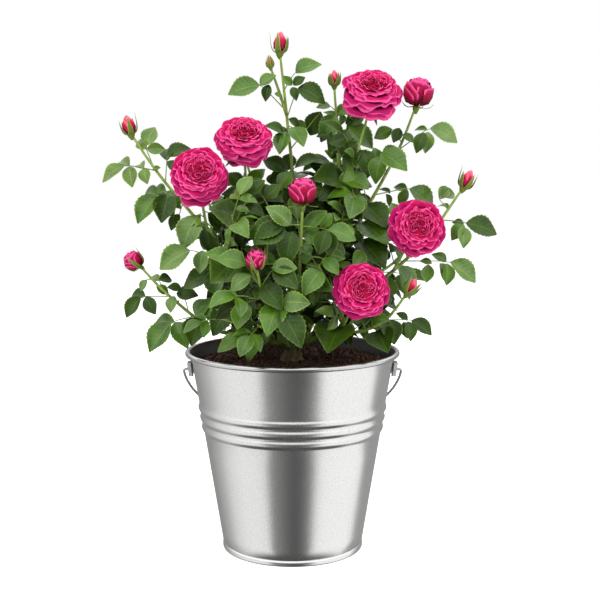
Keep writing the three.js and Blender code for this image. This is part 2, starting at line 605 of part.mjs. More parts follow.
// ---- growing the whole bush ----
function growMasses() {
  const skeleton = MASSES.map((mass) => ({ mass, curves: shootCurves(mass), leaves: [], twigs: [] }));
  skeleton.forEach(({ mass, curves }, owner) => {
    takeLimb(boughCurve(mass), OPEN_TO_NONE);
    curves.forEach((curve) => takeLimb(curve, owner));
    mass.shoots.forEach((shoot) => shoot.flower && takeFlower(shoot.flower));
  });
  skeleton.forEach((grown, owner) => {
    grown.mass.shoots.forEach((shoot, stem) => {
      shoot.leaves.forEach(([share, ...tip], n) => {
        const base = grown.curves[stem].getPointAt(share);
        const plan = planLeaf(base, vec(tip), base.distanceTo(vec(tip)) > 62 ? 2 : 1, [owner, stem, 40 + n]);
        const leaf = placeLeaf(plan, owner, 2);
        if (leaf) grown.leaves.push(leaf);
      });
    });
  });
  skeleton.forEach((grown, owner) => {
    grown.curves.forEach((curve, stem) => {
      for (const twig of growTwigs(curve, owner, stem)) {
        grown.twigs.push(twig);
        const stemKey = 10 + stem * 5 + grown.twigs.length;
        const tipLeaf = twig.getPointAt(1).addScaledVector(twig.getTangentAt(1), lerp(...LEAF_LENGTH, 0.2));
        const last = placeLeaf(planLeaf(twig.getPointAt(0.93), tipLeaf, 1, [owner, stemKey, 9]), owner, 2);
        if (last) grown.leaves.push(last);
        grown.leaves.push(...growLeaves(twig, owner, stemKey, NODE_GAP * 0.7, 22, 12, 1));
      }
      grown.leaves.push(...growLeaves(curve, owner, stem, NODE_GAP, 14, BARE_END, 1));
    });
  });
  return skeleton;
}

function massSolid({ mass, curves, twigs, leaves }) {
  const parts = curves.map((curve, i) => {
    const steps = Math.max(3, Math.round(curve.getLength() / 48));
    return solidOf(limb(curve, i ? SHOOT_R : FORK_R, PEDUNCLE_R, 4, steps));
  });
  mass.shoots.forEach((shoot) => shoot.flower && parts.push(flowerSolid(shoot.flower)));
  twigs.forEach((twig) => parts.push(solidOf(limb(twig, SHOOT_R * 0.8, PEDUNCLE_R * 0.7, 3, 2))));
  leaves.forEach((leaf) => parts.push(...leafSolids(leaf)));
  return fuse(parts);
}

// Boughs are cut clear of the trunk and of each other where they crowd together at its top.
function boughSolids() {
  const trunkRoom = solidOf(trunkGeometry(CLEAR));
  const kept = [];
  let room = trunkRoom;
  for (const mass of MASSES) {
    const curve = boughCurve(mass);
    const whole = solidOf(limb(curve, BOUGH_R, FORK_R, 5, 3));
    kept.push(largest(whole.subtract(room).decompose()));
    room = room.add(solidOf(limb(curve, BOUGH_R + CLEAR * 1.2, FORK_R + CLEAR, 5, 3)));
  }
  return kept;
}

// ---- the scene graph ----
const rose = new THREE.Group();
const bucket = new THREE.Group();
const plant = new THREE.Group();
rose.add(bucket, plant);

function addMesh(group, name, geometry, material) {
  const mesh = new THREE.Mesh(geometry, material);
  mesh.name = name;
  group.add(mesh);
  return mesh;
}

addMesh(bucket, 'bucket', bucketGeometry(), steel);
addMesh(bucket, 'soil', soilGeometry(), soilMaterial);
addMesh(bucket, 'ear_right', earGeometry(1), steel);
addMesh(bucket, 'ear_left', earGeometry(-1), steel);
addMesh(bucket, 'bail', bailGeometry(), wireSteel);

addMesh(plant, 'trunk', trunkGeometry(), bark);
boughSolids().forEach((solid, i) => {
  addMesh(plant, `bough_${MASSES[i].name}`, geometryOf(solid), caneBark);
});
growMasses().forEach((grown) => {
  const flowering = grown.mass.shoots.some((shoot) => shoot.flower);
  addMesh(plant, `foliage_${grown.mass.name}`, geometryOf(massSolid(grown)), flowering ? blossom : foliage);
});

export default rose;
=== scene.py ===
import math

import bmesh
import bpy
import numpy as np
from mathutils import Matrix, Quaternion, Vector


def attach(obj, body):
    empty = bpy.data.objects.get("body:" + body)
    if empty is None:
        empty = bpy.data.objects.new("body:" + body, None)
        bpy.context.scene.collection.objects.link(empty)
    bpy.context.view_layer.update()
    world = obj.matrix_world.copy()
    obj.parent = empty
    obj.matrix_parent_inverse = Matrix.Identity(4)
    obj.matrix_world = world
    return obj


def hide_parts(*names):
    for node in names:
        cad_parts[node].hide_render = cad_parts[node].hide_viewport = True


bl_info = {
    "name": "Potted Rose Bush",
    "version": (1, 0, 0),
    "blender": (4, 5, 0),
    "location": "3D View > Sidebar > Rose Bush",
    "description": "A flowering rose bush in a ribbed steel bucket with a swinging bail",
    "category": "Add Mesh",
}

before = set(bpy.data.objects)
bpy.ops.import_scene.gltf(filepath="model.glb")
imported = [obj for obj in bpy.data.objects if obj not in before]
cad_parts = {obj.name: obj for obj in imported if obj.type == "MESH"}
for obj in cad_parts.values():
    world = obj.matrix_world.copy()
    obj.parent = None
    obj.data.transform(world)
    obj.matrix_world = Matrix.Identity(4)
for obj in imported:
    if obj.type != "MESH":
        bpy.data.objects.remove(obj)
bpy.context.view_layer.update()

MM = 0.001
PLANT_BODY = "potted_plant"
BAIL_BODY = "bail"
BOUGH_NODES = sorted(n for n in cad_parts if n.startswith("bough_"))

# All lengths from here to the settings are millimetres, as in the CAD source. First the bucket:
# its height, the compost, the middle of the rolled rim, the bail's hinge and the pressed forms.
HEIGHT = 221
SOIL_Z = 209
RIM_MID_R = 115.1
PIVOT_Z = 199
FOOT_STEP = 1.2
BEAD_HEIGHT, BEAD_HALF, BEAD_STEPS = 1.9, 5.5, 6
ROLL_R, ROLL_TURN, ROLL_STEPS = 2.8, 150, 12
CRUMBS = 3000
STEM_GAP = 15

# The room for leaves: the farthest radius, the round heart that they grow in, the part that is
# filled finer, what they keep off the rim and the compost, and the size of a cell of space.
CROWN_R = 232
CROWN_MIDDLE_Z = 320
CROWN_REACH = 152
CROWN_RISE = 190
FRONT_DEPTH = 30
FILL_MIDDLE = (14, 0, 318)
FILL_REACH = (118, 118, 168)
RIM_MARGIN = 12
CLEARANCE = 7
CELL = 4

# The eye in front of the bush that the crown's outline belongs to.
EYE_Z = 424
EYE_AWAY = 1240

# Stems: their radii, where twigs leave them, how far apart leaves stand and how much is bare.
CANE_R = 3.3
FORK_R = 2.5
SHOOT_R = 1.9
PEDUNCLE_R = 1.3
TWIG_PLACES = (0.16, 0.5)
FILL_TWIG_PLACES = (0.08, 0.27, 0.4, 0.62)
TWIG_LENGTH = (58, 84)
NODE_GAP = 38
BARE_END = 46
GOLDEN = math.radians(137.5)

# Leaves: their lengths, a leaflet's width in its lengths, and for each pair of side leaflets its
# place on the stalk, its angle and its share of the end leaflet's length.
LEAF_LENGTH = (52, 68)
FILL_LEAF_LENGTH = (44, 62)
FILL_LEAF_PAIRS = 2
LEAFLET_WIDTH = 0.68
SIDE_LEAFLETS = ((0.42, 68, 0.8), (0.2, 76, 0.62))
VEIN_SLANT = 0.46
VEIN_WAVES = 48.0

# Flowers, in diameters: how far the stalk ends below the centre, and the space kept before one.
STALK = {"open": 0.27, "half": 0.46, "bud": 0.52}
KEPT_CLEAR = {"open": 1.5, "half": 0.7, "bud": 0.6}
ANY_TURN = 6.28

# The dense crown as it is seen from the front: x and z. Only standing leaves reach past it.
CROWN_OUTLINE = (
    (-93, 225), (-98, 255), (-94, 280), (-119, 293), (-125, 317), (-122, 341), (-126, 369), (-100, 380),
    (-74, 387), (-71, 417), (-33, 424), (-24, 415), (-7, 430), (2, 434), (32, 436), (35, 477), (62, 489),
    (88, 462), (95, 422), (82, 395), (104, 368), (109, 317), (137, 308), (138, 275), (111, 271), (118, 240),
    (107, 223)
)
# Each mass of foliage is one cane: its fork, then its shoots. A side shoot starts at its "from",
# a place along the first shoot. A shoot has the points that it passes, a flower (kind, diameter,
# centre, look) or a bare tip, and the leaves that stand out of the crown: the place along the
# shoot, the leaf's tip, then, where its stalk is arched, the end of the stalk and the pairs of
# leaflets on it, or -1 for a leaflet on the stalk before it.
MASSES = {
    "left_high": ((-40, -8, 272), [
        {"via": [(-83, -18, 340), (-146, -3, 415)],
         "flower": ("bud", 16, (-176, 0, 464), (-0.25, 0, 0.97)),
         "leaves": [(0.79, -208, -5, 407, -181, -4, 422, 2), (0.81, -150, 8, 466, -159, 3, 443, 1),
          (0.72, -110, 22, 442, -136, 9, 431, 1), (0.81, -142, -6, 420, -150, -3, 417, 0),
          (0.67, -167, -22, 361, -145, -11, 391, 2), (0.65, -139, -30, 362, -133, -12, 392, -1),
          (0.59, -131, -20, 353, -121, -14, 370, 0)]},
        {"from": 0.3, "via": [(-86, -42, 345)],
         "flower": ("open", 62, (-95.5, -60, 412.3), (0.12, -0.86, 0.5)),
         "leaves": [(0.6, -118, -62, 339, -98, -49, 371, 0), (0.55, -83, -52, 330, -91, -47, 359, 0),
          (0.67, -74, -40, 356, -88, -45, 373, 0)]}]),
    "left_low": ((-46, -14, 238), [
        {"via": [(-83, -27, 246), (-136, -32, 288)],
         "flower": ("half", 19, (-169, -30, 321), (-0.75, -0.1, 0.65)),
         "leaves": [(0.69, -178, -38, 261, -161, -35, 283, 1), (0.75, -128, -14, 302, -143, -24, 300, 0),
          (0.73, -155, -14, 305, -142, -23, 299, -1), (0.87, -163, -36, 290, -155, -32, 301, 0),
          (0.51, -131, -46, 296, -117, -40, 292, 0), (0.51, -99, -46, 286, -123, -39, 287, -1),
          (0.64, -131, -44, 269, -126, -34, 284, 0), (0.51, -89, -48, 281, -105, -35, 264, -1),
          (0.79, -131, -30, 286, -145, -31, 294, -1), (0.46, -153, -56, 229, -129, -41, 256, 1),
          (0.39, -105, -66, 236, -98, -35, 260, 0), (0.36, -87, -50, 282, -99, -36, 262, -1),
          (0.2, -84, -60, 248, -65, -40, 276, 0), (0.22, -58, -66, 277, -69, -55, 282, -1)]}]),
    "left_centre": ((-20, -12, 288), [
        {"via": [(-44, -20, 355)],
         "flower": ("open", 63, (-51, -25, 449), (0.03, -0.66, 0.75)),
         "leaves": [(0.63, -32, -14, 421, -45, -17, 399, 0), (0.65, -69, -8, 415, -53, -14, 398, 0),
          (0.53, -76, -62, 380, -49, -24, 363, 0), (0.69, -74, -30, 393, -50, -19, 388, 0),
          (0.69, -16, -30, 393, -43, -21, 393, 0), (0.62, -32, -40, 386, -43, -25, 377, 1)]},
        {"from": 0.12, "via": [(-62, -48, 320)],
         "tip": (-88, -66, 330),
         "leaves": [(0.99, -140, -66, 317, -105, -66, 335, 0), (0.99, -96, -72, 312, -92, -67, 335, -1),
          (0.85, -116, -60, 299, -83, -60, 310, 0), (0.88, -80, -56, 286, -83, -60, 316, -1),
          (0.99, -117, -50, 341, -106, -55, 341, -1), (0.57, -76, -104, 312, -61, -51, 321, 0)]}]),
    "centre_high": ((-3, 4, 300), [
        {"via": [(0, 5, 408), (-5, 8, 465)],
         "flower": ("bud", 17, (-13, 10, 552), (0.05, 0, 1)),
         "leaves": [(0.74, -70, 0, 500, -35, 4, 508, 0), (0.74, -18, 0, 519, -35, 3, 507, -1),
          (0.74, -30, -4, 491, -25, 0, 508, -1), (0.74, -10, 0, 495, -19, 3, 499, -1),
          (0.83, 29, 6, 536, 3, 8, 521, 0), (0.71, 36, -8, 493, 6, 0, 505, 0),
          (0.71, -10, -2, 517, 0, 1, 507, -1), (0.71, 13, 0, 517, 1, 2, 507, -1),
          (0.71, 5, -12, 492, 0, -6, 505, -1), (0.57, 17, 24, 453, 31, 18, 480, 0),
          (0.57, 1, 20, 473, 13, 14, 458, -1), (0.58, -25, -14, 468, -9, -3, 456, 1),
          (0.57, -14, -18, 434, -7, -4, 458, -1), (0.67, 13, -12, 444, -1, 6, 463, 0),
          (0.7, 10, 12, 464, -4, 9, 472, 0), (0.45, -32, 8, 431, -7, 6, 417, 1),
          (0.46, 29, -10, 434, 2, 2, 419, 0), (0.4, -16, -15, 398, -1, -4, 415, 0),
          (0.38, -28, -24, 388, -3, 0, 389, 0)]},
        {"from": 0.72, "via": [(-14, 8, 500)],
         "flower": ("bud", 9, (-24, 5, 531), (-0.15, 0, 1)),
         "leaves": []}]),
    "right_centre": ((18, 8, 292), [
        {"via": [(50, 22, 400)],
         "flower": ("bud", 13, (46, 30, 516), (0, 0, 1)),
         "leaves": [(0.87, 26, 24, 486, 42, 27, 486, 0), (0.79, 32, 6, 451, 47, 20, 477, 0),
          (0.84, 63, 28, 490, 49, 28, 476, 0), (0.8, 37, 26, 484, 50, 27, 471, -1),
          (0.8, 81, 32, 478, 58, 28, 467, -1), (0.72, 42, 0, 437, 46, 17, 458, 1),
          (0.7, 91, 24, 442, 61, 25, 465, 1), (0.58, 22, -6, 432, 46, 18, 418, 0),
          (0.8, 70, 30, 471, 57, 29, 480, 1), (0.53, 26, -34, 411, 57, 11, 405, 0)]},
        {"from": 0.25, "via": [(58, 0, 397)],
         "flower": ("open", 65, (85, -10, 499), (0.05, -0.6, 0.8)),
         "leaves": [(0.7, 54, -12, 418, 74, -1, 439, 0), (0.72, 84, -14, 411, 77, -2, 439, -1),
          (0.72, 94, 2, 416, 88, 0, 441, -1), (0.47, 81, -22, 400, 58, -4, 410, 0),
          (0.38, 32, -30, 390, 56, -4, 400, 0), (0.44, 62, -52, 370, 66, -23, 389, 1)]}]),
    "right_high": ((34, 6, 282), [
        {"via": [(67, 2, 350), (115, 8, 438)],
         "flower": ("half", 29, (136, 10, 500), (0.12, -0.05, 1)),
         "leaves": [(0.77, 182, 5, 450, 149, 6, 462, 0), (0.77, 144, -8, 436, 146, -2, 458, -1),
          (0.77, 132, -14, 437, 142, -5, 457, -1), (0.77, 133, 12, 464, 147, 11, 460, -1),
          (0.81, 88, 4, 452, 108, 6, 461, 0), (0.81, 109, 2, 446, 116, 5, 462, -1),
          (0.82, 132, 0, 447, 119, 6, 455, -1), (0.65, 122, -26, 417, 95, -7, 436, 1),
          (0.53, 162, 15, 375, 128, 9, 397, 0), (0.53, 111, 16, 401, 126, 12, 395, -1),
          (0.53, 115, 8, 380, 126, 7, 395, -1), (0.53, 95, 18, 398, 107, 11, 391, -1),
          (0.53, 107, 10, 377, 102, 7, 391, -1), (0.48, 100, -34, 362, 78, -2, 380, 0),
          (0.42, 101, -42, 343, 75, -5, 361, 0), (0.31, 98, -46, 321, 73, -8, 342, 0)]}]),
    "right_mid": ((46, -8, 262), [
        {"via": [(100, -6, 300), (144, -4, 341)],
         "flower": ("bud", 16, (189, 0, 406), (0.42, 0, 0.9)),
         "leaves": [(0.5, 110, 12, 384, 117, 6, 360, 1), (0.85, 170, 14, 401, 160, 5, 385, 0),
          (0.85, 180, 16, 392, 162, 7, 389, -1), (0.86, 158, 8, 381, 170, -1, 376, -1),
          (0.78, 225, -5, 352, 188, -4, 360, 0), (0.78, 171, -16, 344, 185, -10, 359, -1),
          (0.78, 174, 4, 362, 187, 2, 359, -1), (0.78, 185, -20, 334, 183, -11, 357, -1),
          (0.4, 137, 16, 273, 115, -2, 313, 0), (0.38, 108, -10, 293, 105, -6, 307, 0),
          (0.4, 110, -30, 335, 115, -21, 325, 1)]},
        {"from": 0.4, "via": [(112, -30, 318)],
         "flower": ("open", 63, (131, -45, 357), (0.14, -0.9, 0.36)),
         "leaves": [(0.47, 199, -30, 299, 168, -31, 320, 0), (0.47, 165, -40, 295, 164, -37, 319, -1),
          (0.47, 168, -36, 298, 157, -34, 319, -1), (0.47, 151, -22, 330, 165, -24, 319, -1),
          (0.47, 142, -44, 299, 144, -39, 318, -1), (0.47, 136, -30, 322, 149, -30, 318, -1)]}]),
    "right_low": ((40, -30, 245), [
        {"via": [(70, -42, 246), (98, -50, 260)],
         "flower": ("bud", 14, (124, -60, 296), (0.5, -0.1, 0.85)),
         "leaves": [(0.63, 148, -55, 245, 125, -52, 260, 0), (0.63, 125, -66, 240, 121, -58, 260, -1),
          (0.63, 122, -60, 242, 117, -55, 259, -1), (0.63, 110, -46, 268, 122, -48, 259, -1),
          (0.57, 106, -80, 242, 102, -58, 262, -1), (0.45, 97, -96, 235, 89, -57, 250, 0),
          (0.47, 100, -66, 264, 84, -53, 261, 0), (0.4, 63, -60, 270, 74, -50, 258, 0)]},
        {"from": 0.15, "via": [(54, -66, 258)],
         "flower": ("open", 58, (71, -95, 297), (0, -0.93, 0.36)),
         "leaves": [(0.31, 36, -122, 244, 50, -66, 256, 0)]}]),
    "front": ((3, -40, 262), [
        {"via": [(6, -68, 292), (9, -88, 340)],
         "flower": ("half", 25, (11, -100, 396), (0, -0.1, 1)),
         "leaves": [(0.84, -44, -110, 359, -7, -99, 362, 0), (0.82, -38, -116, 348, -6, -100, 359, -1),
          (0.82, -8, -118, 327, 1, -99, 357, -1), (0.86, -21, -104, 384, -1, -97, 362, -1),
          (0.83, 66, -98, 351, 35, -96, 358, 0), (0.82, 26, -112, 335, 35, -103, 358, -1),
          (0.88, 40, -90, 375, 29, -92, 359, -1), (0.82, 38, -108, 333, 37, -101, 357, -1),
          (0.55, 12, -118, 299, 30, -99, 318, 0), (0.6, 48, -100, 314, 31, -92, 329, 0)]},
        {"from": 0.2, "via": [(-24, -86, 282)],
         "flower": ("half", 18, (-35, -125, 330), (0, -0.25, 0.97)),
         "leaves": [(0.67, 11, -136, 246, -11, -116, 279, 0), (0.6, 15, -130, 289, -10, -112, 287, -1),
          (0.46, -25, -134, 263, -12, -104, 284, -1), (0.67, -11, -128, 287, -29, -107, 304, -1),
          (0.7, 6, -126, 307, -19, -113, 319, 0), (0.72, 5, -118, 324, -20, -112, 321, -1),
          (0.72, -61, -122, 302, -41, -112, 314, 0), (0.7, -73, -118, 334, -45, -111, 325, 0),
          (0.54, -55, -126, 263, -45, -107, 285, 0)]}]),
    "front_low": ((-14, -42, 240), [
        {"via": [(-24, -72, 252)],
         "tip": (-34, -104, 262),
         "leaves": [(0.95, -50, -146, 244), (0.8, 10, -142, 246)]},
        {"from": 0.2, "via": [(-44, -62, 254)],
         "tip": (-74, -78, 266),
         "leaves": [(0.95, -112, -96, 258), (0.7, -92, -112, 240)]}]),
    "back_left": ((-30, 30, 255), [
        {"via": [(-62, 58, 318), (-88, 66, 362)],
         "flower": ("open", 57, (-110, 70, 408), (-0.35, 0.78, 0.52)),
         "leaves": [(0.6, -120, 66, 334), (0.45, -112, 34, 300), (0.7, -50, 92, 372),
          (0.35, -118, 96, 290)]},
        {"from": 0.12, "via": [(-42, 76, 262)],
         "flower": ("open", 59, (-52, 122, 268), (-0.25, 0.9, 0.36)),
         "leaves": [(0.3, -106, 90, 248), (0.3, -108, 56, 252)]}]),
    "back_centre": ((4, 38, 268), [
        {"via": [(-20, 62, 338), (-44, 78, 396)],
         "flower": ("open", 57, (-58, 90, 450), (-0.05, 0.72, 0.7)),
         "leaves": [(0.66, 4, 92, 424), (0.5, 24, 84, 374), (0.4, -64, 114, 344), (0.75, -96, 108, 404)]},
        {"from": 0.12, "via": [(10, 78, 282)],
         "flower": ("open", 60, (14, 126, 308), (0, 0.9, 0.42)),
         "leaves": [(0.3, 56, 108, 276)]},
        {"from": 0.45, "via": [(-10, 98, 362)],
         "tip": (6, 128, 386),
         "leaves": [(0.95, 20, 176, 402), (0.75, 54, 146, 372)]}]),
    "back_right": ((32, 30, 256), [
        {"via": [(80, 50, 290), (120, 68, 314)],
         "flower": ("open", 57, (143, 80, 348), (0.62, 0.62, 0.48)),
         "leaves": [(0.6, 156, 62, 290), (0.5, 104, 20, 340), (0.75, 92, 96, 366), (0.4, 136, 100, 272)]},
        {"from": 0.2, "via": [(50, 84, 290)],
         "flower": ("half", 27, (62, 138, 336), (0.1, 0.35, 0.93)),
         "leaves": [(0.6, 104, 140, 324), (0.5, 90, 142, 280)]}]),
    "back_low": ((-4, 42, 238), [
        {"via": [(-20, 76, 246)],
         "tip": (-42, 108, 256),
         "leaves": [(0.95, -84, 140, 236), (0.8, 4, 152, 246)]},
        {"from": 0.2, "via": [(30, 70, 248)],
         "tip": (66, 84, 258),
         "leaves": [(0.95, 108, 104, 246), (0.8, 60, 134, 246)]}]),
}
LEAF_GROUPS = {
    "leaves_left": ("left_high", "left_low", "left_centre"),
    "leaves_front": ("centre_high", "front", "front_low"),
    "leaves_right": ("right_centre", "right_high", "right_mid", "right_low"),
    "leaves_back": ("back_left", "back_centre", "back_right", "back_low"),
}


# ---------------------------------------------------------------- settings


class BucketSettings(bpy.types.PropertyGroup):
    """Sizes and colour of the bucket, its ears and its bail."""

    height: bpy.props.FloatProperty(
        name="Height", description="Height of the bucket to the top of its rim",
        default=0.221, min=0.01, unit="LENGTH")
    base_radius: bpy.props.FloatProperty(
        name="Base radius", description="Radius of the chime at the foot",
        default=0.0777, min=0.01, unit="LENGTH")
    mouth_radius: bpy.props.FloatProperty(
        name="Mouth radius", description="Radius of the wall under the rim",
        default=0.1123, min=0.01, unit="LENGTH")
    bead_heights: bpy.props.FloatVectorProperty(
        name="Bead heights", description="Heights of the three pressed beads",
        default=(0.136, 0.147, 0.158), size=3, unit="LENGTH")
    wire_radius: bpy.props.FloatProperty(
        name="Wire radius", description="Radius of the bail's wire",
        default=0.0015, min=0.0002, unit="LENGTH")
    bail_angle: bpy.props.FloatProperty(
        name="Bail angle", description="How far the resting bail hangs below the horizontal",
        default=math.radians(41.5), unit="ROTATION")
    steel_colour: bpy.props.FloatVectorProperty(
        name="Steel", description="Colour of the galvanised sheet",
        default=(0.72, 0.72, 0.71), size=3, subtype="COLOR", min=0, max=1)
    soil_colour: bpy.props.FloatVectorProperty(
        name="Compost", description="Colour of the compost",
        default=(0.045, 0.022, 0.013), size=3, subtype="COLOR", min=0, max=1)


class PlantSettings(bpy.types.PropertyGroup):
    """Growth and colours of the canes and leaves."""

    filling_gap: bpy.props.FloatProperty(
        name="Filling gap", description="Distance between filling leaves along a stem",
        default=0.012, min=0.005, unit="LENGTH")
    leaf_colour: bpy.props.FloatVectorProperty(
        name="Leaf", description="Colour of a grown leaf",
        default=(0.042, 0.110, 0.005), size=3, subtype="COLOR", min=0, max=1)
    young_colour: bpy.props.FloatVectorProperty(
        name="Young leaf", description="Colour of the newest leaves",
        default=(0.090, 0.165, 0.026), size=3, subtype="COLOR", min=0, max=1)
    cane_colour: bpy.props.FloatVectorProperty(
        name="Cane", description="Colour of the green canes",
        default=(0.17, 0.25, 0.035), size=3, subtype="COLOR", min=0, max=1)


class BloomSettings(bpy.types.PropertyGroup):
    """Colours of the blooms."""

    petal_colour: bpy.props.FloatVectorProperty(
        name="Petal", description="Main colour of the petals",
        default=(0.36, 0.0008, 0.066), size=3, subtype="COLOR", min=0, max=1)
    guard_colour: bpy.props.FloatVectorProperty(
        name="Guard petal", description="Colour of the outermost petals",
        default=(0.31, 0.0008, 0.074), size=3, subtype="COLOR", min=0, max=1)
    heart_colour: bpy.props.FloatVectorProperty(
        name="Heart", description="Colour at the heart of a bloom",
        default=(0.43, 0.003, 0.047), size=3, subtype="COLOR", min=0, max=1)
    # The rims' pale colour is partly the petals' own and partly a painted highlight.
    edge_colour: bpy.props.FloatVectorProperty(
        name="Edge", description="Colour of the petals' rims",
        default=(0.76, 0.075, 0.27), size=3, subtype="COLOR", min=0, max=1)


class StageSettings(bpy.types.PropertyGroup):
    """Camera and light."""

    camera_place: bpy.props.FloatVectorProperty(
        name="Camera", description="Place of the camera",
        default=(0.0083, -1.2396, 0.4244), size=3, subtype="TRANSLATION", unit="LENGTH")
    camera_tilt: bpy.props.FloatProperty(
        name="Tilt", description="How far the camera looks down",
        default=math.radians(6.86), unit="ROTATION")
    lens: bpy.props.FloatProperty(
        name="Lens", description="Focal length on a 36 mm sensor", default=68.36, unit="CAMERA")


# ---------------------------------------------------------------- small helpers


def unit(vector):
    return vector / np.linalg.norm(vector)


def vec(point):
    return np.array(point, float)


def lerp(a, b, share):
    return a + (b - a) * share


def deselect_all():
    if bpy.context.object and bpy.context.object.mode != "OBJECT":
        bpy.ops.object.mode_set(mode="OBJECT")
    bpy.ops.object.select_all(action="DESELECT")


def make_active(obj):
    deselect_all()
    obj.select_set(True)
    bpy.context.view_layer.objects.active = obj


def join(parts, name):
    make_active(parts[0])
    for part in parts:
        part.select_set(True)
    bpy.ops.object.join()
    parts[0].name = name
    parts[0].data.name = name
    return parts[0]


def settle(obj):
    """Puts the object's place into its mesh."""
    make_active(obj)
    bpy.ops.object.transform_apply(location=True, rotation=True, scale=True)


def smooth(obj, degrees=40):
    make_active(obj)
    bpy.ops.object.shade_smooth_by_angle(angle=math.radians(degrees))


def apply_modifier(obj, kind, **values):
    make_active(obj)
    modifier = obj.modifiers.new(kind.title(), kind)
    for key, value in values.items():
        setattr(modifier, key, value)
    bpy.ops.object.modifier_apply(modifier=modifier.name)


def hand_over(obj, body, slot, *nodes):
    """Fits a finished piece into the frame."""
    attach(obj, body)
    if nodes:
        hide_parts(*nodes)


def turned(name, profile, sides):
    """Models a turned piece: a circle's rim is extruded and scaled from ring to ring."""
    deselect_all()
    r, z = profile[0]
    bpy.ops.mesh.primitive_circle_add(
        vertices=sides, radius=r, fill_type="NOTHING", location=(0, 0, 0))
    obj = bpy.context.object
    obj.name = name
    obj.data.name = name
    bpy.ops.object.mode_set(mode="EDIT")
    bpy.ops.mesh.select_mode(type="EDGE")
    bpy.ops.mesh.select_all(action="SELECT")
    bpy.ops.transform.translate(value=(0, 0, z))
    for next_r, next_z in profile[1:]:
        bpy.ops.mesh.extrude_region_move(TRANSFORM_OT_translate={"value": (0, 0, next_z - z)})
        share = next_r / r
        bpy.ops.transform.resize(value=(share, share, 1), center_override=(0, 0, next_z))
        r, z = next_r, next_z
    bpy.ops.mesh.select_all(action="SELECT")
    bpy.ops.mesh.fill_holes(sides=0)
    bpy.ops.mesh.select_all(action="SELECT")
    bpy.ops.mesh.normals_make_consistent(inside=False)
    bpy.ops.object.mode_set(mode="OBJECT")
    return obj


class Sheets:
    """Gathers many small shapes into the arrays of one joined mesh."""

    def __init__(self):
        self.points, self.faces, self.slots = [], [], []
        self.uvs, self.rims = [], []
        self.count = 0

    def add(self, points, faces, slot=0, uv=None, rim=None):
        offset = self.count
        self.points.append(np.asarray(points, float))
        self.faces.extend([tuple(i + offset for i in face) for face in faces])
        self.slots.extend([slot] * len(faces))
        n = len(points)
        self.uvs.append(np.zeros((n, 2)) if uv is None else np.asarray(uv, float))
        self.rims.append(np.zeros(n) if rim is None else np.asarray(rim, float))
        self.count += n

    def build(self, name, finishes):
        mesh = bpy.data.meshes.new(name)
        points = np.concatenate(self.points) * MM
        mesh.from_pydata(points.tolist(), [], self.faces)
        for finish in finishes:
            mesh.materials.append(finish)
        mesh.polygons.foreach_set("material_index", np.array(self.slots, np.int32))
        mesh.polygons.foreach_set("use_smooth", np.full(len(self.faces), True))
        corners = np.zeros(len(mesh.loops), np.int32)
        mesh.loops.foreach_get("vertex_index", corners)
        layer = mesh.uv_layers.new(name="UVMap")
        layer.data.foreach_set("uv", np.concatenate(self.uvs)[corners].ravel())
        rim = mesh.attributes.new("rim", "FLOAT", "POINT")
        rim.data.foreach_set("value", np.concatenate(self.rims).astype(np.float32))
        mesh.update()
        obj = bpy.data.objects.new(name, mesh)
        bpy.context.scene.collection.objects.link(obj)
        return obj


# ---------------------------------------------------------------- finishes


class Nodes:
    """A node tree that is being wired."""

    def __init__(self, tree):
        self.tree = tree

    def node(self, kind, links=None, **values):
        made = self.tree.nodes.new(kind)
        for key, value in values.items():
            if hasattr(made, key):
                setattr(made, key, value)
            else:
                made.inputs[key].default_value = value
        for key, source in (links or {}).items():
            self.tree.links.new(source, made.inputs[key])
        return made

    def fill(self, socket, value):
        """Links a socket to another one, or sets its value."""
        if isinstance(value, bpy.types.NodeSocket):
            self.tree.links.new(value, socket)
        else:
            socket.default_value = value

    def math(self, operation, *values):
        made = self.node("ShaderNodeMath", operation=operation)
        for socket, value in zip(made.inputs, values):
            self.fill(socket, value)
        return made.outputs[0]

    def mix(self, blend, factor, first, second):
        """Mixes two colours; the node's colour sockets are 6, 7 and, on its way out, 2."""
        made = self.node("ShaderNodeMix", data_type="RGBA", blend_type=blend)
        self.fill(made.inputs["Factor"], factor)
        self.fill(made.inputs[6], first)
        self.fill(made.inputs[7], second)
        return made.outputs[2]

    def place(self, scale=(1, 1, 1)):
        coordinates = self.node("ShaderNodeTexCoord")
        mapping = self.node("ShaderNodeMapping", {"Vector": coordinates.outputs["Object"]})
        mapping.inputs["Scale"].default_value = scale
        return mapping.outputs["Vector"]

    def noise(self, vector, scale, detail=2.0, rough=0.5):
        made = self.node(
            "ShaderNodeTexNoise", {"Vector": vector}, Scale=scale, Detail=detail, Roughness=rough)
        return made.outputs["Fac"]

    def span(self, source, low, high, start=0.3, end=0.7):
        made = self.node("ShaderNodeMapRange", {"Value": source})
        for key, value in zip(("From Min", "From Max", "To Min", "To Max"), (start, end, low, high)):
            made.inputs[key].default_value = value
        return made.outputs["Result"]

    def ramp(self, source, stops):
        made = self.node("ShaderNodeValToRGB", {"Fac": source})
        ramp = made.color_ramp
        while len(ramp.elements) < len(stops):
            ramp.elements.new(0.5)
        for element, (place, colour) in zip(ramp.elements, stops):
            element.position = place
            element.color = (*colour, 1)
        return made.outputs["Color"]

    def greys(self, source, stops):
        return self.ramp(source, [(place, (grey, grey, grey)) for place, grey in stops])

    def bump(self, height, distance, strength=1.0, normal=None):
        links = {"Height": height}
        if normal:
            links["Normal"] = normal
        return self.node("ShaderNodeBump", links, Distance=distance, Strength=strength).outputs["Normal"]


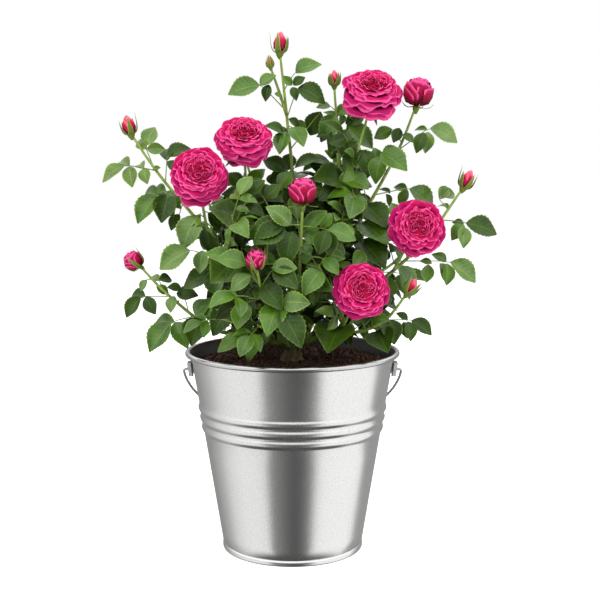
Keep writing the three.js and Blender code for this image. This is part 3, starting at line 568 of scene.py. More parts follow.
class Finish(Nodes):
    """A node material that is being mixed."""

    def __init__(self, name):
        self.material = bpy.data.materials.new(name)
        self.material.use_nodes = True
        super().__init__(self.material.node_tree)
        self.shader = self.tree.nodes["Principled BSDF"]

    def set(self, **values):
        for key, value in values.items():
            self.shader.inputs[key.replace("_", " ")].default_value = value

    def feed(self, key, source):
        self.tree.links.new(source, self.shader.inputs[key])


def shade(colour, factor):
    return tuple(min(1.0, channel * factor) for channel in colour)


def steel_finish(name, colour, roughness=(0.20, 0.28)):
    """Galvanised sheet: a fine upright grain, faint spangle and smudges."""
    finish = Finish(name)
    finish.set(Metallic=1.0)
    grain = finish.noise(finish.place((1, 1, 0.08)), 900, 3)
    spangle = finish.noise(finish.place(), 700, 2)
    smudge = finish.noise(finish.place((1, 1, 0.6)), 16, 4)
    finish.feed("Base Color", finish.ramp(
        spangle, [(0.3, shade(colour, 0.93)), (0.5, colour), (0.7, shade(colour, 1.06))]))
    finish.feed("Roughness", finish.span(smudge, *roughness))
    fine = finish.bump(grain, 0.00004, 0.6)
    finish.feed("Normal", finish.bump(spangle, 0.00002, 0.35, fine))
    return finish.material


def wire_finish():
    finish = Finish("zinc_wire")
    finish.set(Metallic=0.8)
    marks = finish.noise(finish.place(), 500, 3)
    finish.feed("Base Color", finish.ramp(marks, [(0.3, (0.36, 0.36, 0.35)), (0.7, (0.54, 0.54, 0.52))]))
    finish.feed("Roughness", finish.span(marks, 0.38, 0.52))
    finish.feed("Normal", finish.bump(marks, 0.00005, 0.6))
    return finish.material


def compost_finish(name, colour):
    finish = Finish(name)
    coarse = finish.noise(finish.place(), 220, 5, 0.7)
    fine = finish.noise(finish.place(), 900, 4, 0.6)
    finish.feed("Base Color", finish.ramp(coarse, [
        (0.25, shade(colour, 0.4)), (0.5, colour), (0.62, shade(colour, 1.9)), (0.78, shade(colour, 3.2))]))
    finish.set(Roughness=0.95)
    finish.feed("Normal", finish.bump(fine, 0.0004, 0.8, finish.bump(coarse, 0.0012, 0.8)))
    return finish.material


def bark_finish(name, colour, old):
    """Cane skin: green, with paler lenticels, turning to grey-brown bark low down."""
    finish = Finish(name)
    streaks = finish.noise(finish.place((1, 1, 0.25)), 260, 4)
    if old:
        stops = [(0.25, (0.07, 0.05, 0.025)), (0.5, (0.17, 0.13, 0.06)), (0.75, (0.22, 0.24, 0.09))]
    else:
        stops = [(0.25, shade(colour, 0.6)), (0.5, colour), (0.8, shade(colour, 1.35))]
    finish.feed("Base Color", finish.ramp(streaks, stops))
    finish.set(Roughness=0.85 if old else 0.5)
    finish.feed("Normal", finish.bump(streaks, 0.0006 if old else 0.0002, 0.7))
    return finish.material


def leaf_finish(name, colour, gloss, shine):
    """A leaf blade: quilted between its veins and paler along the midrib; paler too on the toothed rim,
    which is painted light, the glow of light through the thin edge.
    """
    finish = Finish(name)
    uv = finish.node("ShaderNodeUVMap", uv_map="UVMap").outputs["UV"]
    split = finish.node("ShaderNodeSeparateXYZ", {"Vector": uv})
    spread = finish.math("ABSOLUTE", finish.math("SUBTRACT", split.outputs["X"], 0.5))
    slant = finish.math("MULTIPLY_ADD", spread, -VEIN_SLANT, split.outputs["Y"])
    swell = finish.math("SINE", finish.math("MULTIPLY", slant, VEIN_WAVES))
    veins = finish.span(swell, 0.0, 1.0, 0.35, 1.0)
    midrib = finish.span(spread, 1.0, 0.0, 0.0, 0.045)
    # Painted light: the toothed rim is paled as if lit through its thin edge.
    rim = finish.span(spread, 0.0, 0.8, 0.43, 0.5)
    mottle = finish.noise(finish.place(), 46, 4, 0.62)
    yellowed = (colour[0] * 1.7, colour[1] * 1.4, colour[2] * 1.2)
    body = finish.ramp(mottle, [(0.30, shade(colour, 0.5)), (0.5, colour), (0.72, yellowed)])
    faint, strong = finish.math("MULTIPLY", veins, 0.16), finish.math("MULTIPLY", midrib, 0.6)
    marked = finish.math("MAXIMUM", faint, strong)
    pale = (colour[0] * 2.6 + 0.03, colour[1] * 2.0 + 0.03, colour[2] * 2.0 + 0.01, 1)
    finish.feed("Base Color", finish.mix("MIX", finish.math("MAXIMUM", marked, rim), body, pale))
    finish.set(Roughness=gloss, Specular_IOR_Level=shine)
    finish.feed("Normal", finish.bump(finish.math("MAXIMUM", veins, midrib), 0.0014, -1.0))
    return finish.material


def petal_finish(name, colour, deep, edge, hem):
    """Petal velvet: deep at the claw, partly its own colour and partly painted shade where it sinks under
    the next whorl; full colour on the blade; pale on the rim, partly its own paler edge and partly a
    painted highlight.
    """
    finish = Finish(name)
    rim = finish.node("ShaderNodeAttribute", attribute_name="rim").outputs["Fac"]
    mottle = finish.noise(finish.place(), 110, 3)
    shifted = finish.math("MULTIPLY_ADD", mottle, 0.12, rim)
    # The deep claw colour is partly painted shade, and the pale rim colour is partly a painted highlight.
    blush_and_highlight = tuple(lerp(a, b, 0.12) for a, b in zip(colour, edge))
    finish.feed("Base Color", finish.ramp(
        shifted, [(0.42, deep), (0.76, colour), (hem, blush_and_highlight), (1.04, edge)]))
    finish.set(Roughness=0.6, Specular_IOR_Level=0.12)
    finish.feed("Normal", finish.bump(mottle, 0.0002, 0.4))
    return finish.material


def floor_finish():
    finish = Finish("studio_floor")
    haze = finish.noise(finish.place(), 3, 2)
    finish.feed("Base Color", finish.ramp(haze, [(0.0, (0.90, 0.90, 0.90)), (1.0, (0.93, 0.93, 0.93))]))
    finish.set(Roughness=0.9, Emission_Color=(1, 1, 1, 1), Emission_Strength=0.35)
    return finish.material


# ---------------------------------------------------------------- the growing rule


def chance(*keys):
    """A repeatable number from 0 to 1 for each set of keys."""
    mixed = sum((key + 1) * weight for key, weight in zip(keys, (12.9898, 78.233, 37.719, 94.673)))
    big = abs(math.sin(mixed)) * 43758.5453
    return big - math.floor(big)


class Path:
    """A smooth curve through points, walked by shares of its length."""

    STEPS = 200

    def __init__(self, points):
        self.knots = [vec(p) for p in points]
        spots = np.array([self.raw(i / self.STEPS) for i in range(self.STEPS + 1)])
        runs = np.linalg.norm(np.diff(spots, axis=0), axis=1)
        self.reach = np.concatenate([[0.0], np.cumsum(runs)])
        self.length = float(self.reach[-1])

    def raw(self, t):
        last = len(self.knots) - 1
        place = last * t
        i = math.floor(place)
        w = place - i
        if w == 0 and i == last:
            i, w = last - 1, 1.0
        p1, p2 = self.knots[i], self.knots[i + 1]
        p0 = self.knots[i - 1] if i > 0 else 2 * self.knots[0] - self.knots[1]
        p3 = self.knots[i + 2] if i + 2 <= last else 2 * self.knots[last] - self.knots[last - 1]
        d0, d1, d2 = (float(((b - a) ** 2).sum()) ** 0.25 for a, b in ((p0, p1), (p1, p2), (p2, p3)))
        m1 = ((p1 - p0) / d0 - (p2 - p0) / (d0 + d1) + (p2 - p1) / d1) * d1
        m2 = ((p2 - p1) / d1 - (p3 - p1) / (d1 + d2) + (p3 - p2) / d2) * d1
        return (p1 + m1 * w + (-3 * p1 + 3 * p2 - 2 * m1 - m2) * w * w
                + (2 * p1 - 2 * p2 + m1 + m2) * w ** 3)

    def spot(self, share):
        target = share * self.length
        i = int(np.searchsorted(self.reach, target, side="right")) - 1
        if i >= self.STEPS:
            return 1.0
        run = self.reach[i + 1] - self.reach[i]
        return (i + (target - self.reach[i]) / run) / self.STEPS

    def at(self, share):
        return self.raw(self.spot(share))

    def heading(self, share):
        t = self.spot(share)
        return unit(self.raw(min(1.0, t + 1e-4)) - self.raw(max(0.0, t - 1e-4)))


class Room:
    """Cells of space that limbs, flowers and leaves have taken."""

    NOBODY, LEAF = -1, -2

    def __init__(self):
        self.held = {}

    def take(self, x, y, z, owner):
        """Holds the spot's cell and those round it, where nobody has them yet."""
        i, j, k = (math.floor(v / CELL) for v in (x, y, z))
        for a in (i - 1, i, i + 1):
            for b in (j - 1, j, j + 1):
                for c in (k - 1, k, k + 1):
                    self.held.setdefault((a, b, c), owner)

    def holder(self, spot):
        return self.held.get(tuple(math.floor(v / CELL) for v in spot))

    def within(self, spot):
        """Tells if a spot is inside the bush's reach and off the bucket and the compost."""
        r = math.hypot(spot[0], spot[1])
        if r > CROWN_R or (r > RIM_MID_R - RIM_MARGIN and spot[2] < HEIGHT + CLEARANCE):
            return False
        return spot[2] >= SOIL_Z + CLEARANCE

    def is_free(self, spot, owner):
        return self.within(spot) and self.holder(spot) in (None, owner)

    def take_path(self, path, owner):
        steps = math.ceil(path.length / 3)
        for i in range(steps + 1):
            self.take(*path.at(i / steps), owner)

    def take_flower(self, kind, size, centre, look):
        """Keeps the bloom's own space, and the space before its face, clear."""
        aim = unit(vec(look))
        level = unit(np.array([aim[0], aim[1] - 0.01, 0.0]))
        sweeps = [(aim, -0.3 * size, KEPT_CLEAR[kind] * size)]
        if kind != "bud" or centre[1] < -50:
            sweeps.append((level, 0.0, 1.3 * size))
        for way, d, end in sweeps:
            while d <= end:
                middle = vec(centre) + way * d
                spread = size * (0.36 if d > 0.25 * size else 0.43)
                offsets = np.arange(-spread, spread + 1e-9, 6)
                for x in offsets:
                    for y in offsets:
                        for z in offsets:
                            if math.sqrt(x * x + y * y + z * z) <= spread:
                                self.take(middle[0] + x, middle[1] + y, middle[2] + z, self.NOBODY)
                d += 6


def is_in_heart(spot):
    across = math.hypot(spot[0], spot[1]) / CROWN_REACH
    return math.hypot(across, (spot[2] - CROWN_MIDDLE_Z) / CROWN_RISE) < 1


def is_in_filling(spot):
    return np.linalg.norm((spot - FILL_MIDDLE) / FILL_REACH) < 1 and is_in_outline(spot)


def is_in_outline(spot):
    """Tells if a spot falls inside the crown's outline, as an eye in front of it sees it."""
    far = 1 + spot[1] / EYE_AWAY
    x, z = spot[0] / far, EYE_Z + (spot[2] - EYE_Z) / far
    inside = False
    for (xa, za), (xb, zb) in zip(CROWN_OUTLINE, CROWN_OUTLINE[1:] + CROWN_OUTLINE[:1]):
        if (za > z) != (zb > z) and x < xa + (z - za) / (zb - za) * (xb - xa):
            inside = not inside
    return inside


def first_run(fork, shoots):
    return unit(vec(shoots[0]["via"][0]) - vec(fork))


def bough_path(fork, shoots):
    """The run from the trunk's head out and up to a mass's fork."""
    fork = vec(fork)
    out = np.array([fork[0], fork[1], 0.0])
    away = float(np.linalg.norm(out))
    out /= away
    top = SOIL_Z + 27
    root_z = lerp(top - 6, top - 12, min(1, away / 50))
    root = out * min(5, away * 0.4) + (0, 0, root_z)
    knee = out * away * 0.5 + (0, 0, lerp(root_z, fork[2], 0.38))
    run = first_run(fork, shoots)
    return Path([root, knee, fork - run * 9, fork - run * 0.3])


def shoot_end(shoot):
    if "flower" not in shoot:
        return vec(shoot["tip"])
    kind, size, centre, look = shoot["flower"]
    return vec(centre) - unit(vec(look)) * STALK[kind] * size


def shoot_paths(fork, shoots):
    paths = []
    for shoot in shoots:
        if paths:
            start = [paths[0].at(shoot["from"])]
        else:
            start = [vec(fork), vec(fork) + first_run(fork, shoots) * 10]
        paths.append(Path([*start, *shoot["via"], shoot_end(shoot)]))
    return paths


def plan_leaf(base, tip, pairs, keys, end=None):
    """A compound leaf: a stalk, a leaflet at its end and pairs of leaflets along it."""
    length = float(np.linalg.norm(tip - base))
    along = unit(tip - (base if end is None else end))
    out = unit(np.array([tip[0], tip[1], 0.0]))
    if end is None:
        rise, spread, lean = 0.6, 0.45, 0.55 if tip[1] > FRONT_DEPTH else -0.55
    else:
        rise, spread, lean = lerp(0.3, 0.95, chance(*keys, 4)), 0.2, -0.9
    face = np.array([0, 0, rise]) + out * spread
    face[1] += lean
    face[0] += 0.5 * (chance(*keys, 1) - 0.5)
    face[1] += 0.5 * (chance(*keys, 2) - 0.5)
    face = unit(face - along * face.dot(along))
    side = np.cross(along, face)
    blade = 0.5 * length
    if end is None:
        end = base + along * 0.5 * length + face * 0.07 * length
    else:
        blade = float(np.linalg.norm(tip - end))
    leaflets = [(end, tip, face)]
    for row, (place, angle, share) in enumerate(SIDE_LEAFLETS[:pairs]):
        for hand in (-1, 1):
            swing = math.radians(angle + 8 * (chance(*keys, 5 + row * 2 + hand) - 0.5))
            root = base + (end - base) * place * 2
            way = unit(along * math.cos(swing) + side * hand * math.sin(swing) - face * 0.16)
            turned_face = face + side * hand * 0.25
            turned_face = unit(turned_face - way * turned_face.dot(way))
            leaflets.append((root, root + way * share * blade, turned_face))
    return {"base": base, "end": end, "tip": tip, "face": face, "leaflets": leaflets,
            "length": length, "keys": keys}


def leaflet_spots(leaflet):
    """Spots all over a leaflet that tell what space it takes."""
    root, tip, face = leaflet
    along = tip - root
    length = float(np.linalg.norm(along))
    side = np.cross(along / length, face)
    middle = root + along * 0.46
    left = middle - side * LEAFLET_WIDTH * length / 2 + face * 0.05 * length
    right = middle + side * LEAFLET_WIDTH * length / 2 + face * 0.05 * length
    spots = [middle, tip, left, right]
    for a, b in ((middle, left), (middle, right), (middle, tip), (left, tip), (right, tip),
                 (left, root), (right, root)):
        spots += [a + (b - a) * 0.34, a + (b - a) * 0.67]
    return spots


def place_leaf(room, plan, owner, fewest):
    """Lets a leaf in where enough of its leaflets, the end one among them, find free space."""
    fitting = [leaflet for leaflet in plan["leaflets"]
               if all(room.is_free(spot, owner) for spot in leaflet_spots(leaflet))]
    if len(fitting) < fewest or fitting[0] is not plan["leaflets"][0]:
        return None
    for leaflet in fitting:
        for spot in leaflet_spots(leaflet):
            room.take(*spot, Room.LEAF)
    return plan


def squeeze_leaf(room, plan, crowding):
    """Lets a filling leaf in where it stays off flowers and doesn't bury other leaves."""
    kept = []
    for leaflet in plan["leaflets"]:
        spots = leaflet_spots(leaflet)
        if not all(room.within(spot) for spot in spots):
            continue
        holders = [room.holder(spot) for spot in spots]
        if not is_in_outline(leaflet[1]):
            continue
        if Room.NOBODY in holders or holders.count(Room.LEAF) > crowding * len(spots):
            continue
        kept.append(leaflet)
    if len(kept) < 3 or kept[0] is not plan["leaflets"][0]:
        return None
    for leaflet in kept:
        for spot in leaflet_spots(leaflet)[:4]:
            room.take(*spot, Room.LEAF)
    plan["leaflets"] = kept
    return plan


def force_leaf(room, plan):
    """A leaf whose place is given: its leaflets only keep off the flowers and the bucket."""
    first, *rest = plan["leaflets"]
    clear = [leaflet for leaflet in rest
             if all(room.within(spot) and room.holder(spot) != Room.NOBODY
                    for spot in leaflet_spots(leaflet))]
    plan["leaflets"] = [first, *clear]
    for leaflet in plan["leaflets"]:
        for spot in leaflet_spots(leaflet):
            room.take(*spot, Room.LEAF)
    return plan


def ruled_tip(point, heading, turn, length, keys):
    """Where a leaf or twig from a stem ends: out from the stem, outwards and a little up."""
    flat = np.array([1.0, 0, 0]) if abs(heading[2]) > 0.9 else np.array([0, 0, 1.0])
    u = unit(np.cross(heading, flat))
    v = unit(np.cross(heading, u))
    way = (u * math.cos(turn) + v * math.sin(turn)) * 0.85 + heading * 0.3
    way = way + unit(np.array([point[0], point[1], 0.0])) * 0.35
    way[2] += 0.1 + 0.2 * (chance(*keys, 3) - 0.5)
    return point + unit(way) * length


def grow_leaves(room, path, owner, stem, gap, first_at, bare_end, pairs):
    """Leaves at even gaps up a stem, each turned by the golden angle from the one before."""
    grown = []
    at, node = first_at, 0
    while at < path.length - bare_end:
        point, heading = path.at(at / path.length), path.heading(at / path.length)
        size = lerp(*LEAF_LENGTH, chance(owner, stem, node))
        for go in range(5):
            turn = GOLDEN * (node + stem * 2.3 + owner) + go * 1.3
            keys = (owner, stem, node)
            tip = ruled_tip(point, heading, turn, size, keys)
            leaf = is_in_heart(tip) and is_in_outline(tip) and place_leaf(
                room, plan_leaf(point, tip, pairs, keys), owner, 3 if go < 2 else 2)
            if leaf:
                grown.append(leaf)
                break
        at += gap
        node += 1
    return grown


def grow_twigs(room, path, owner, stem, places=TWIG_PLACES, key=20):
    twigs = []
    for n, share in enumerate(places):
        point, heading = path.at(share), path.heading(share)
        length = lerp(*TWIG_LENGTH, chance(owner, stem, n, 7))
        for go in range(4):
            turn = GOLDEN * (n * 2 + owner) + go * 1.6 + stem
            tip = ruled_tip(point, heading, turn, length, (owner, stem, key + n))
            middle = (point + tip) / 2 + (0, 0, 5)
            twig = Path([point, middle, tip])
            spots = [twig.at(u) for u in (0.3, 0.45, 0.6, 0.7, 0.8, 0.9, 1)]
            if is_in_heart(tip) and is_in_outline(tip) and all(room.is_free(spot, owner) for spot in spots):
                room.take_path(twig, owner)
                twigs.append(twig)
                break
    return twigs


def grow_bush():
    """Grows the same canes, twigs and leaves as the CAD solids; fill_bush fills them in finer."""
    room = Room()
    bush = []
    for name, (fork, shoots) in MASSES.items():
        bush.append({"name": name, "fork": fork, "shoots": shoots, "bough": bough_path(fork, shoots),
                     "paths": shoot_paths(fork, shoots), "twigs": [], "leaves": [], "filling": []})
    for owner, mass in enumerate(bush):
        room.take_path(mass["bough"], Room.NOBODY)
        for path in mass["paths"]:
            room.take_path(path, owner)
        for shoot in mass["shoots"]:
            if "flower" in shoot:
                room.take_flower(*shoot["flower"])
    for owner, mass in enumerate(bush):
        for stem, shoot in enumerate(mass["shoots"]):
            for n, (share, *spots) in enumerate(shoot["leaves"]):
                base, tip, keys = mass["paths"][stem].at(share), vec(spots[:3]), (owner, stem, 40 + n)
                if len(spots) > 3:
                    plan = plan_leaf(base, tip, max(0, spots[6]), keys, vec(spots[3:6]))
                    plan["stalk"] = spots[6] >= 0
                    mass["leaves"].append(force_leaf(room, plan))
                    continue
                far = np.linalg.norm(base - tip) > 62
                plan = plan_leaf(base, tip, 2 if far else 1, keys)
                if place_leaf(room, plan, owner, 2):
                    mass["leaves"].append(plan)
                else:
                    mass["filling"].append((plan, 0.5))
    for owner, mass in enumerate(bush):
        for stem, path in enumerate(mass["paths"]):
            for twig in grow_twigs(room, path, owner, stem):
                mass["twigs"].append(twig)
                stem_key = 10 + stem * 5 + len(mass["twigs"])
                tip = twig.at(1) + twig.heading(1) * lerp(*LEAF_LENGTH, 0.2)
                plan = plan_leaf(twig.at(0.93), tip, 1, (owner, stem_key, 9))
                if is_in_outline(tip) and place_leaf(room, plan, owner, 2):
                    mass["leaves"].append(plan)
                mass["leaves"] += grow_leaves(room, twig, owner, stem_key, NODE_GAP * 0.7, 22, 12, 1)
            mass["leaves"] += grow_leaves(room, path, owner, stem, NODE_GAP, 14, BARE_END, 1)
    return room, bush


def fill_bush(room, bush, gap):
    """Adds the finer leaves of each mass between those of the solids."""
    for owner, mass in enumerate(bush):
        extra = []
        for plan, crowding in mass["filling"]:
            if squeeze_leaf(room, plan, crowding):
                extra.append(plan)
        for stem, path in enumerate(mass["paths"]):
            for n, twig in enumerate(grow_twigs(room, path, owner, stem, FILL_TWIG_PLACES, 60)):
                tip = twig.at(1) + twig.heading(1) * 30
                plan = plan_leaf(twig.at(0.93), tip, FILL_LEAF_PAIRS, (owner, stem, 80 + n))
                plan = squeeze_leaf(room, plan, 0.4)
                if plan and path.length > 60:
                    mass["twigs"].append(twig)
                    extra.append(plan)
        stems = [(path, BARE_END * 0.6) for path in mass["paths"]]
        stems += [(twig, 4) for twig in mass["twigs"]]
        for stem, (path, bare) in enumerate(stems):
            at, node = 10.0, 0
            while at < path.length - bare:
                share = at / path.length
                point, heading = path.at(share), path.heading(share)
                keys = (owner, 100 + stem, node)
                size = lerp(*FILL_LEAF_LENGTH, chance(*keys))
                for go in range(6):
                    turn = GOLDEN * (node * 1.37 + stem + owner * 0.7) + go * 1.05
                    tip = ruled_tip(point, heading, turn, size, keys)
                    if not is_in_filling(tip):
                        continue
                    plan = squeeze_leaf(room, plan_leaf(point, tip, FILL_LEAF_PAIRS, keys), 0.42)
                    if plan:
                        extra.append(plan)
                        break
                at += gap
                node += 1
        mass["filling"] = extra


# ---------------------------------------------------------------- limbs, leaves and petals


def tube(path, radii, sides, steps, wobble=0.0, seed=0):
    """Points and faces of a limb along a path, closed at both ends."""
    shares = np.linspace(0, 1, steps + 1)
    points, normal = [], None
    for i, share in enumerate(shares):
        heading = path.heading(share)
        if normal is None:
            normal = unit(np.cross(heading, (0.31, 0.87, 0.12)))
        normal = unit(normal - heading * normal.dot(heading))
        across = np.cross(heading, normal)
        radius = np.interp(share, *radii)
        for k in range(sides):
            angle = 2 * math.pi * k / sides
            bulge = 1 + wobble * math.sin(3 * angle + i * 1.9 + seed) * math.cos(i * 0.83 + k + seed)
            out = normal * math.cos(angle) + across * math.sin(angle)
            points.append(path.at(share) + out * radius * bulge)
    faces = []
    for i in range(steps):
        for k in range(sides):
            n = (k + 1) % sides
            faces.append((i * sides + k, i * sides + n, (i + 1) * sides + n, (i + 1) * sides + k))
    faces.append(tuple(reversed(range(sides))))
    faces.append(tuple(steps * sides + k for k in range(sides)))
    return points, faces


def leaflet_shape(curl, fold, wave):
    """A toothed leaflet, one unit long: points, faces and UVs."""
    stations = [0.0, 0.08, 0.19, 0.31, 0.43, 0.55, 0.66, 0.76, 0.85, 0.93, 1.0]
    points, uvs, faces = [], [], []

    def half_width(y):
        if not 0 < y < 1:
            return 0.0
        drawn_out = min(1.0, max(0.0, (y - 0.62) / 0.38)) ** 1.5
        return 0.325 * math.sin(math.pi * y ** 0.92) ** 0.75 * (1 - 0.34 * drawn_out)

    def put(x, y, lift=0.0):
        z = fold * abs(x) - curl * (y - 0.25) ** 2 + lift + wave * math.sin(9 * y) * abs(x)
        points.append((x, y, z))
        uvs.append((0.5 + 0.5 * x / max(half_width(y), 0.05), y))
        return len(points) - 1

    ribs = [put(0.0, y) for y in stations]
    for hand in (-1, 1):
        mids, notches, teeth = [], [], []
        for i, y in enumerate(stations[:-1]):
            w = half_width(y)
            lift = 0.010 if i % 2 else -0.004
            mids.append(put(hand * w * 0.52, y + 0.02, lift) if i else ribs[0])
            notches.append(put(hand * w * 0.96, y + 0.02) if i else ribs[0])
            reach = half_width(lerp(y, stations[i + 1], 0.8)) * 1.03 + 0.005
            teeth.append(put(hand * reach, lerp(y, stations[i + 1], 0.9) + 0.012))
        mids.append(ribs[-1])
        notches.append(ribs[-1])
        for i in range(len(stations) - 1):
            inner = (ribs[i], ribs[i + 1], mids[i + 1], mids[i])
            outer = (mids[i], mids[i + 1], teeth[i], notches[i])
            tooth = (mids[i + 1], notches[i + 1], teeth[i])
            for face in (inner, outer, tooth):
                ring = list(dict.fromkeys(face))
                if len(ring) > 2:
                    faces.append(tuple(ring if hand > 0 else reversed(ring)))
    return np.array(points), faces, np.array(uvs)


# Each leaflet's curl towards its tip, fold along its midrib and wave at its rim.
LEAFLETS = [leaflet_shape(*cut) for cut in (
    (0.30, 0.42, 0.04), (0.44, 0.26, -0.05), (0.20, 0.56, 0.06), (0.60, 0.36, 0.03))]


def add_leaflet(sheets, leaflet, slot, dice, play=1.0):
    """Lays a leaflet at its planned place, turned and sized at random by the share of play."""
    root, tip, face = leaflet
    along = tip - root
    length = float(np.linalg.norm(along)) * 0.97
    along = unit(along)
    sway = np.array((0.0, 0.0, 1.1)) * dice.random() ** 2.5 + dice.normal(size=3) * 0.12
    face = face + sway * play
    pitch = (dice.random() - 0.65) * 0.4 * play
    along = unit(along + face * pitch)
    face = unit(face - along * face.dot(along))
    side = np.cross(along, face)
    points, faces, uvs = LEAFLETS[dice.integers(len(LEAFLETS))]
    width = length * lerp(0.9, 1.06, dice.random()) * (1.12 if play < 1 else 1.0)
    placed = (root + np.outer(points[:, 0] * width, side) + np.outer(points[:, 1] * length, along)
              + np.outer(points[:, 2] * length, face))
    sheets.add(placed, faces, slot, uvs)


class Flower:
    """A flower's own frame: its centre, and the turn from +Z to the way it looks."""

    def __init__(self, kind, size, centre, look, seed):
        self.kind, self.size = kind, size
        self.centre = vec(centre)
        turn = Vector((0, 0, 1)).rotation_difference(Vector(look))
        self.turn = np.array(turn.to_matrix())
        self.dice = np.random.default_rng(seed)

    def place(self, points):
        return np.asarray(points) @ self.turn.T * self.size + self.centre


def bend(knots, v):
    """A point on the cubic curve through a petal's length, and the way its outer face looks."""
    a, b, c, d = (np.array(knot) for knot in knots)
    w = 1 - v
    point = a * w ** 3 + 3 * b * w * w * v + 3 * c * w * v * v + d * v ** 3
    way = unit((b - a) * w * w + 2 * (c - b) * w * v + (d - c) * v * v)
    return point, np.array((way[1], -way[0]))


def sheet_faces(across, along):
    row = across + 1
    return [(j * row + i, j * row + i + 1, (j + 1) * row + i + 1, (j + 1) * row + i)
            for j in range(along) for i in range(across)]


def petal(flower, bearing, half_angle, knots, ruffle=0.012, rounding=0.24, skew=0.0, droop=0.0, cup=0.0,
          across=12, along=5):
    """A petal that wraps the flower's axis; its length is a curve in radius and height."""
    phases = flower.dice.random(3) * ANY_TURN
    points, rims = [], []
    for j in range(along + 1):
        for i in range(across + 1):
            u = 2 * i / across - 1
            up = 1 - (1 - j / along) ** 1.7
            v = up * (1 - rounding * abs(u) ** 3 - skew * u + 0.03 * math.sin(6.1 * u + phases[0]))
            (r, z), (nr, nz) = bend(knots, v)
            wave = ruffle * v ** 3 * (
                0.8 * math.sin(3.9 * u + phases[1]) + 0.8 * math.sin(7.6 * u + phases[2]))
            r += nr * wave + 0.014 * u * v - cup * abs(u) ** 2.4 * v ** 0.5
            turn = bearing + half_angle * u
            points.append((r * math.cos(turn), r * math.sin(turn), z + nz * wave - droop * (u * v) ** 2))
            # The rim share rises up the petal, so the claw takes the deep colour, partly painted shade. The
            # side edges are pushed to the pale rim colour, partly a painted highlight.
            side = abs(u) ** 12 if j > along * 0.4 else 0
            rims.append(lerp(up, 1, side))
    return points, sheet_faces(across, along), rims


def heart_height(far):
    """The domed top of an open bloom's heart, in diameters, at a distance from the middle."""
    return 0.25 - 0.7 * far ** 2


def heart_floor(sides=20):
    """The petals deep in the heart, as one crinkled bed that the lobes stand on."""
    rings = (0.0, 0.06, 0.13, 0.20, 0.27, 0.32)
    points, rims = [], []
    for j, r in enumerate(rings):
        for i in range(sides + 1):
            turn = 2 * math.pi * i / sides
            lift = 0.012 * math.sin(5 * turn + j * 1.7)
            points.append((r * math.cos(turn), r * math.sin(turn), heart_height(r) - 0.04 + lift))
            # The rim share paints the bed darker towards the middle: painted shade down in the heart's
            # hollow.
            rims.append(0.40 + 1.2 * r + 0.06 * math.sin(7 * turn + j))
    return points, sheet_faces(sides, len(rings) - 1), rims


# Up an inner petal: how far out it has turned, its height below the heart's top, and its rim share, which
# paints the lower rows darker: painted shade down between the folds.
FOLD_ROWS = ((0.0, 0.055, 0.52), (0.002, 0.026, 0.72), (0.007, 0.006, 0.88), (0.015, 0.0, 1.0))


def fold(flower, bearing, away, radius, half_turn, across=13):
    """An upright petal of the heart, folded round the middle of its lobe, its rim rolled out."""
    phase, lift = flower.dice.random() * ANY_TURN, 0.034 * (flower.dice.random() - 0.5)
    out = np.array((math.cos(bearing), math.sin(bearing)))
    side = np.array((-out[1], out[0]))
    points, rims = [], []
    for roll, drop, rim in FOLD_ROWS:
        for i in range(across + 1):
            u = 2 * i / across - 1
            wide = radius * (1 + 0.11 * math.sin(4.7 * u + phase)) + roll
            turn = half_turn * u
            spot = out * (away + wide * math.cos(turn)) + side * wide * 0.85 * math.sin(turn)
            top = heart_height(float(np.hypot(*spot))) + lift + 0.014 * math.sin(5 * u + phase)
            points.append((*spot, top - drop))
            rims.append(rim)
    return points, sheet_faces(across, len(FOLD_ROWS) - 1), rims


# Petals in each whorl, half their width in degrees, the curve of their length, their colour.
OPEN_WHORLS = (
    (5, 46, ((0.05, -0.23), (0.29, -0.17), (0.52, 0.03), (0.445, -0.24)), 3),
    (6, 42, ((0.05, -0.22), (0.29, -0.09), (0.54, 0.12), (0.475, -0.12)), 3),
    (7, 37, ((0.05, -0.20), (0.27, -0.03), (0.52, 0.20), (0.470, -0.02)), 3),
    (8, 34, ((0.05, -0.18), (0.25, 0.02), (0.46, 0.27), (0.435, 0.06)), 2),
    (9, 31, ((0.05, -0.15), (0.24, 0.04), (0.40, 0.29), (0.400, 0.12)), 2),
    (9, 31, ((0.05, -0.12), (0.22, 0.04), (0.35, 0.28), (0.362, 0.16)), 2),
    (9, 31, ((0.04, -0.09), (0.20, 0.04), (0.30, 0.25), (0.325, 0.185)), 1),
    (8, 33, ((0.04, -0.06), (0.17, 0.04), (0.26, 0.24), (0.282, 0.200)), 1),
    (7, 36, ((0.04, -0.04), (0.14, 0.05), (0.22, 0.23), (0.235, 0.212)), 1),
)
HALF_WHORLS = (
    (2, 74, ((0.05, -0.50), (0.62, -0.58), (0.56, 0.02), (0.555, 0.19)), 5),
    (3, 68, ((0.05, -0.50), (0.60, -0.56), (0.58, 0.10), (0.455, 0.35)), 5),
    (3, 66, ((0.05, -0.48), (0.54, -0.48), (0.52, 0.20), (0.385, 0.43)), 5),
    (3, 64, ((0.05, -0.46), (0.46, -0.42), (0.46, 0.26), (0.310, 0.48)), 5),
    (3, 64, ((0.05, -0.44), (0.38, -0.36), (0.38, 0.30), (0.235, 0.51)), 1),
    (3, 68, ((0.04, -0.40), (0.30, -0.30), (0.28, 0.34), (0.160, 0.53)), 1),
    (3, 76, ((0.04, -0.34), (0.20, -0.24), (0.18, 0.34), (0.095, 0.53)), 0),
)
BUD_WHORLS = (
    (3, 84, ((0.05, -0.56), (0.66, -0.50), (0.50, 0.22), (0.10, 0.64)), 4),
    (3, 84, ((0.05, -0.52), (0.52, -0.40), (0.44, 0.26), (0.08, 0.70)), 4),
    (2, 95, ((0.04, -0.40), (0.30, -0.30), (0.30, 0.30), (0.03, 0.68)), 1),
)
FIRST_SEED = 101
LOBE_RADII = (0.022, 0.052, 0.082, 0.112)
LOOSE_FOLDS = 12
SEPALS = 5
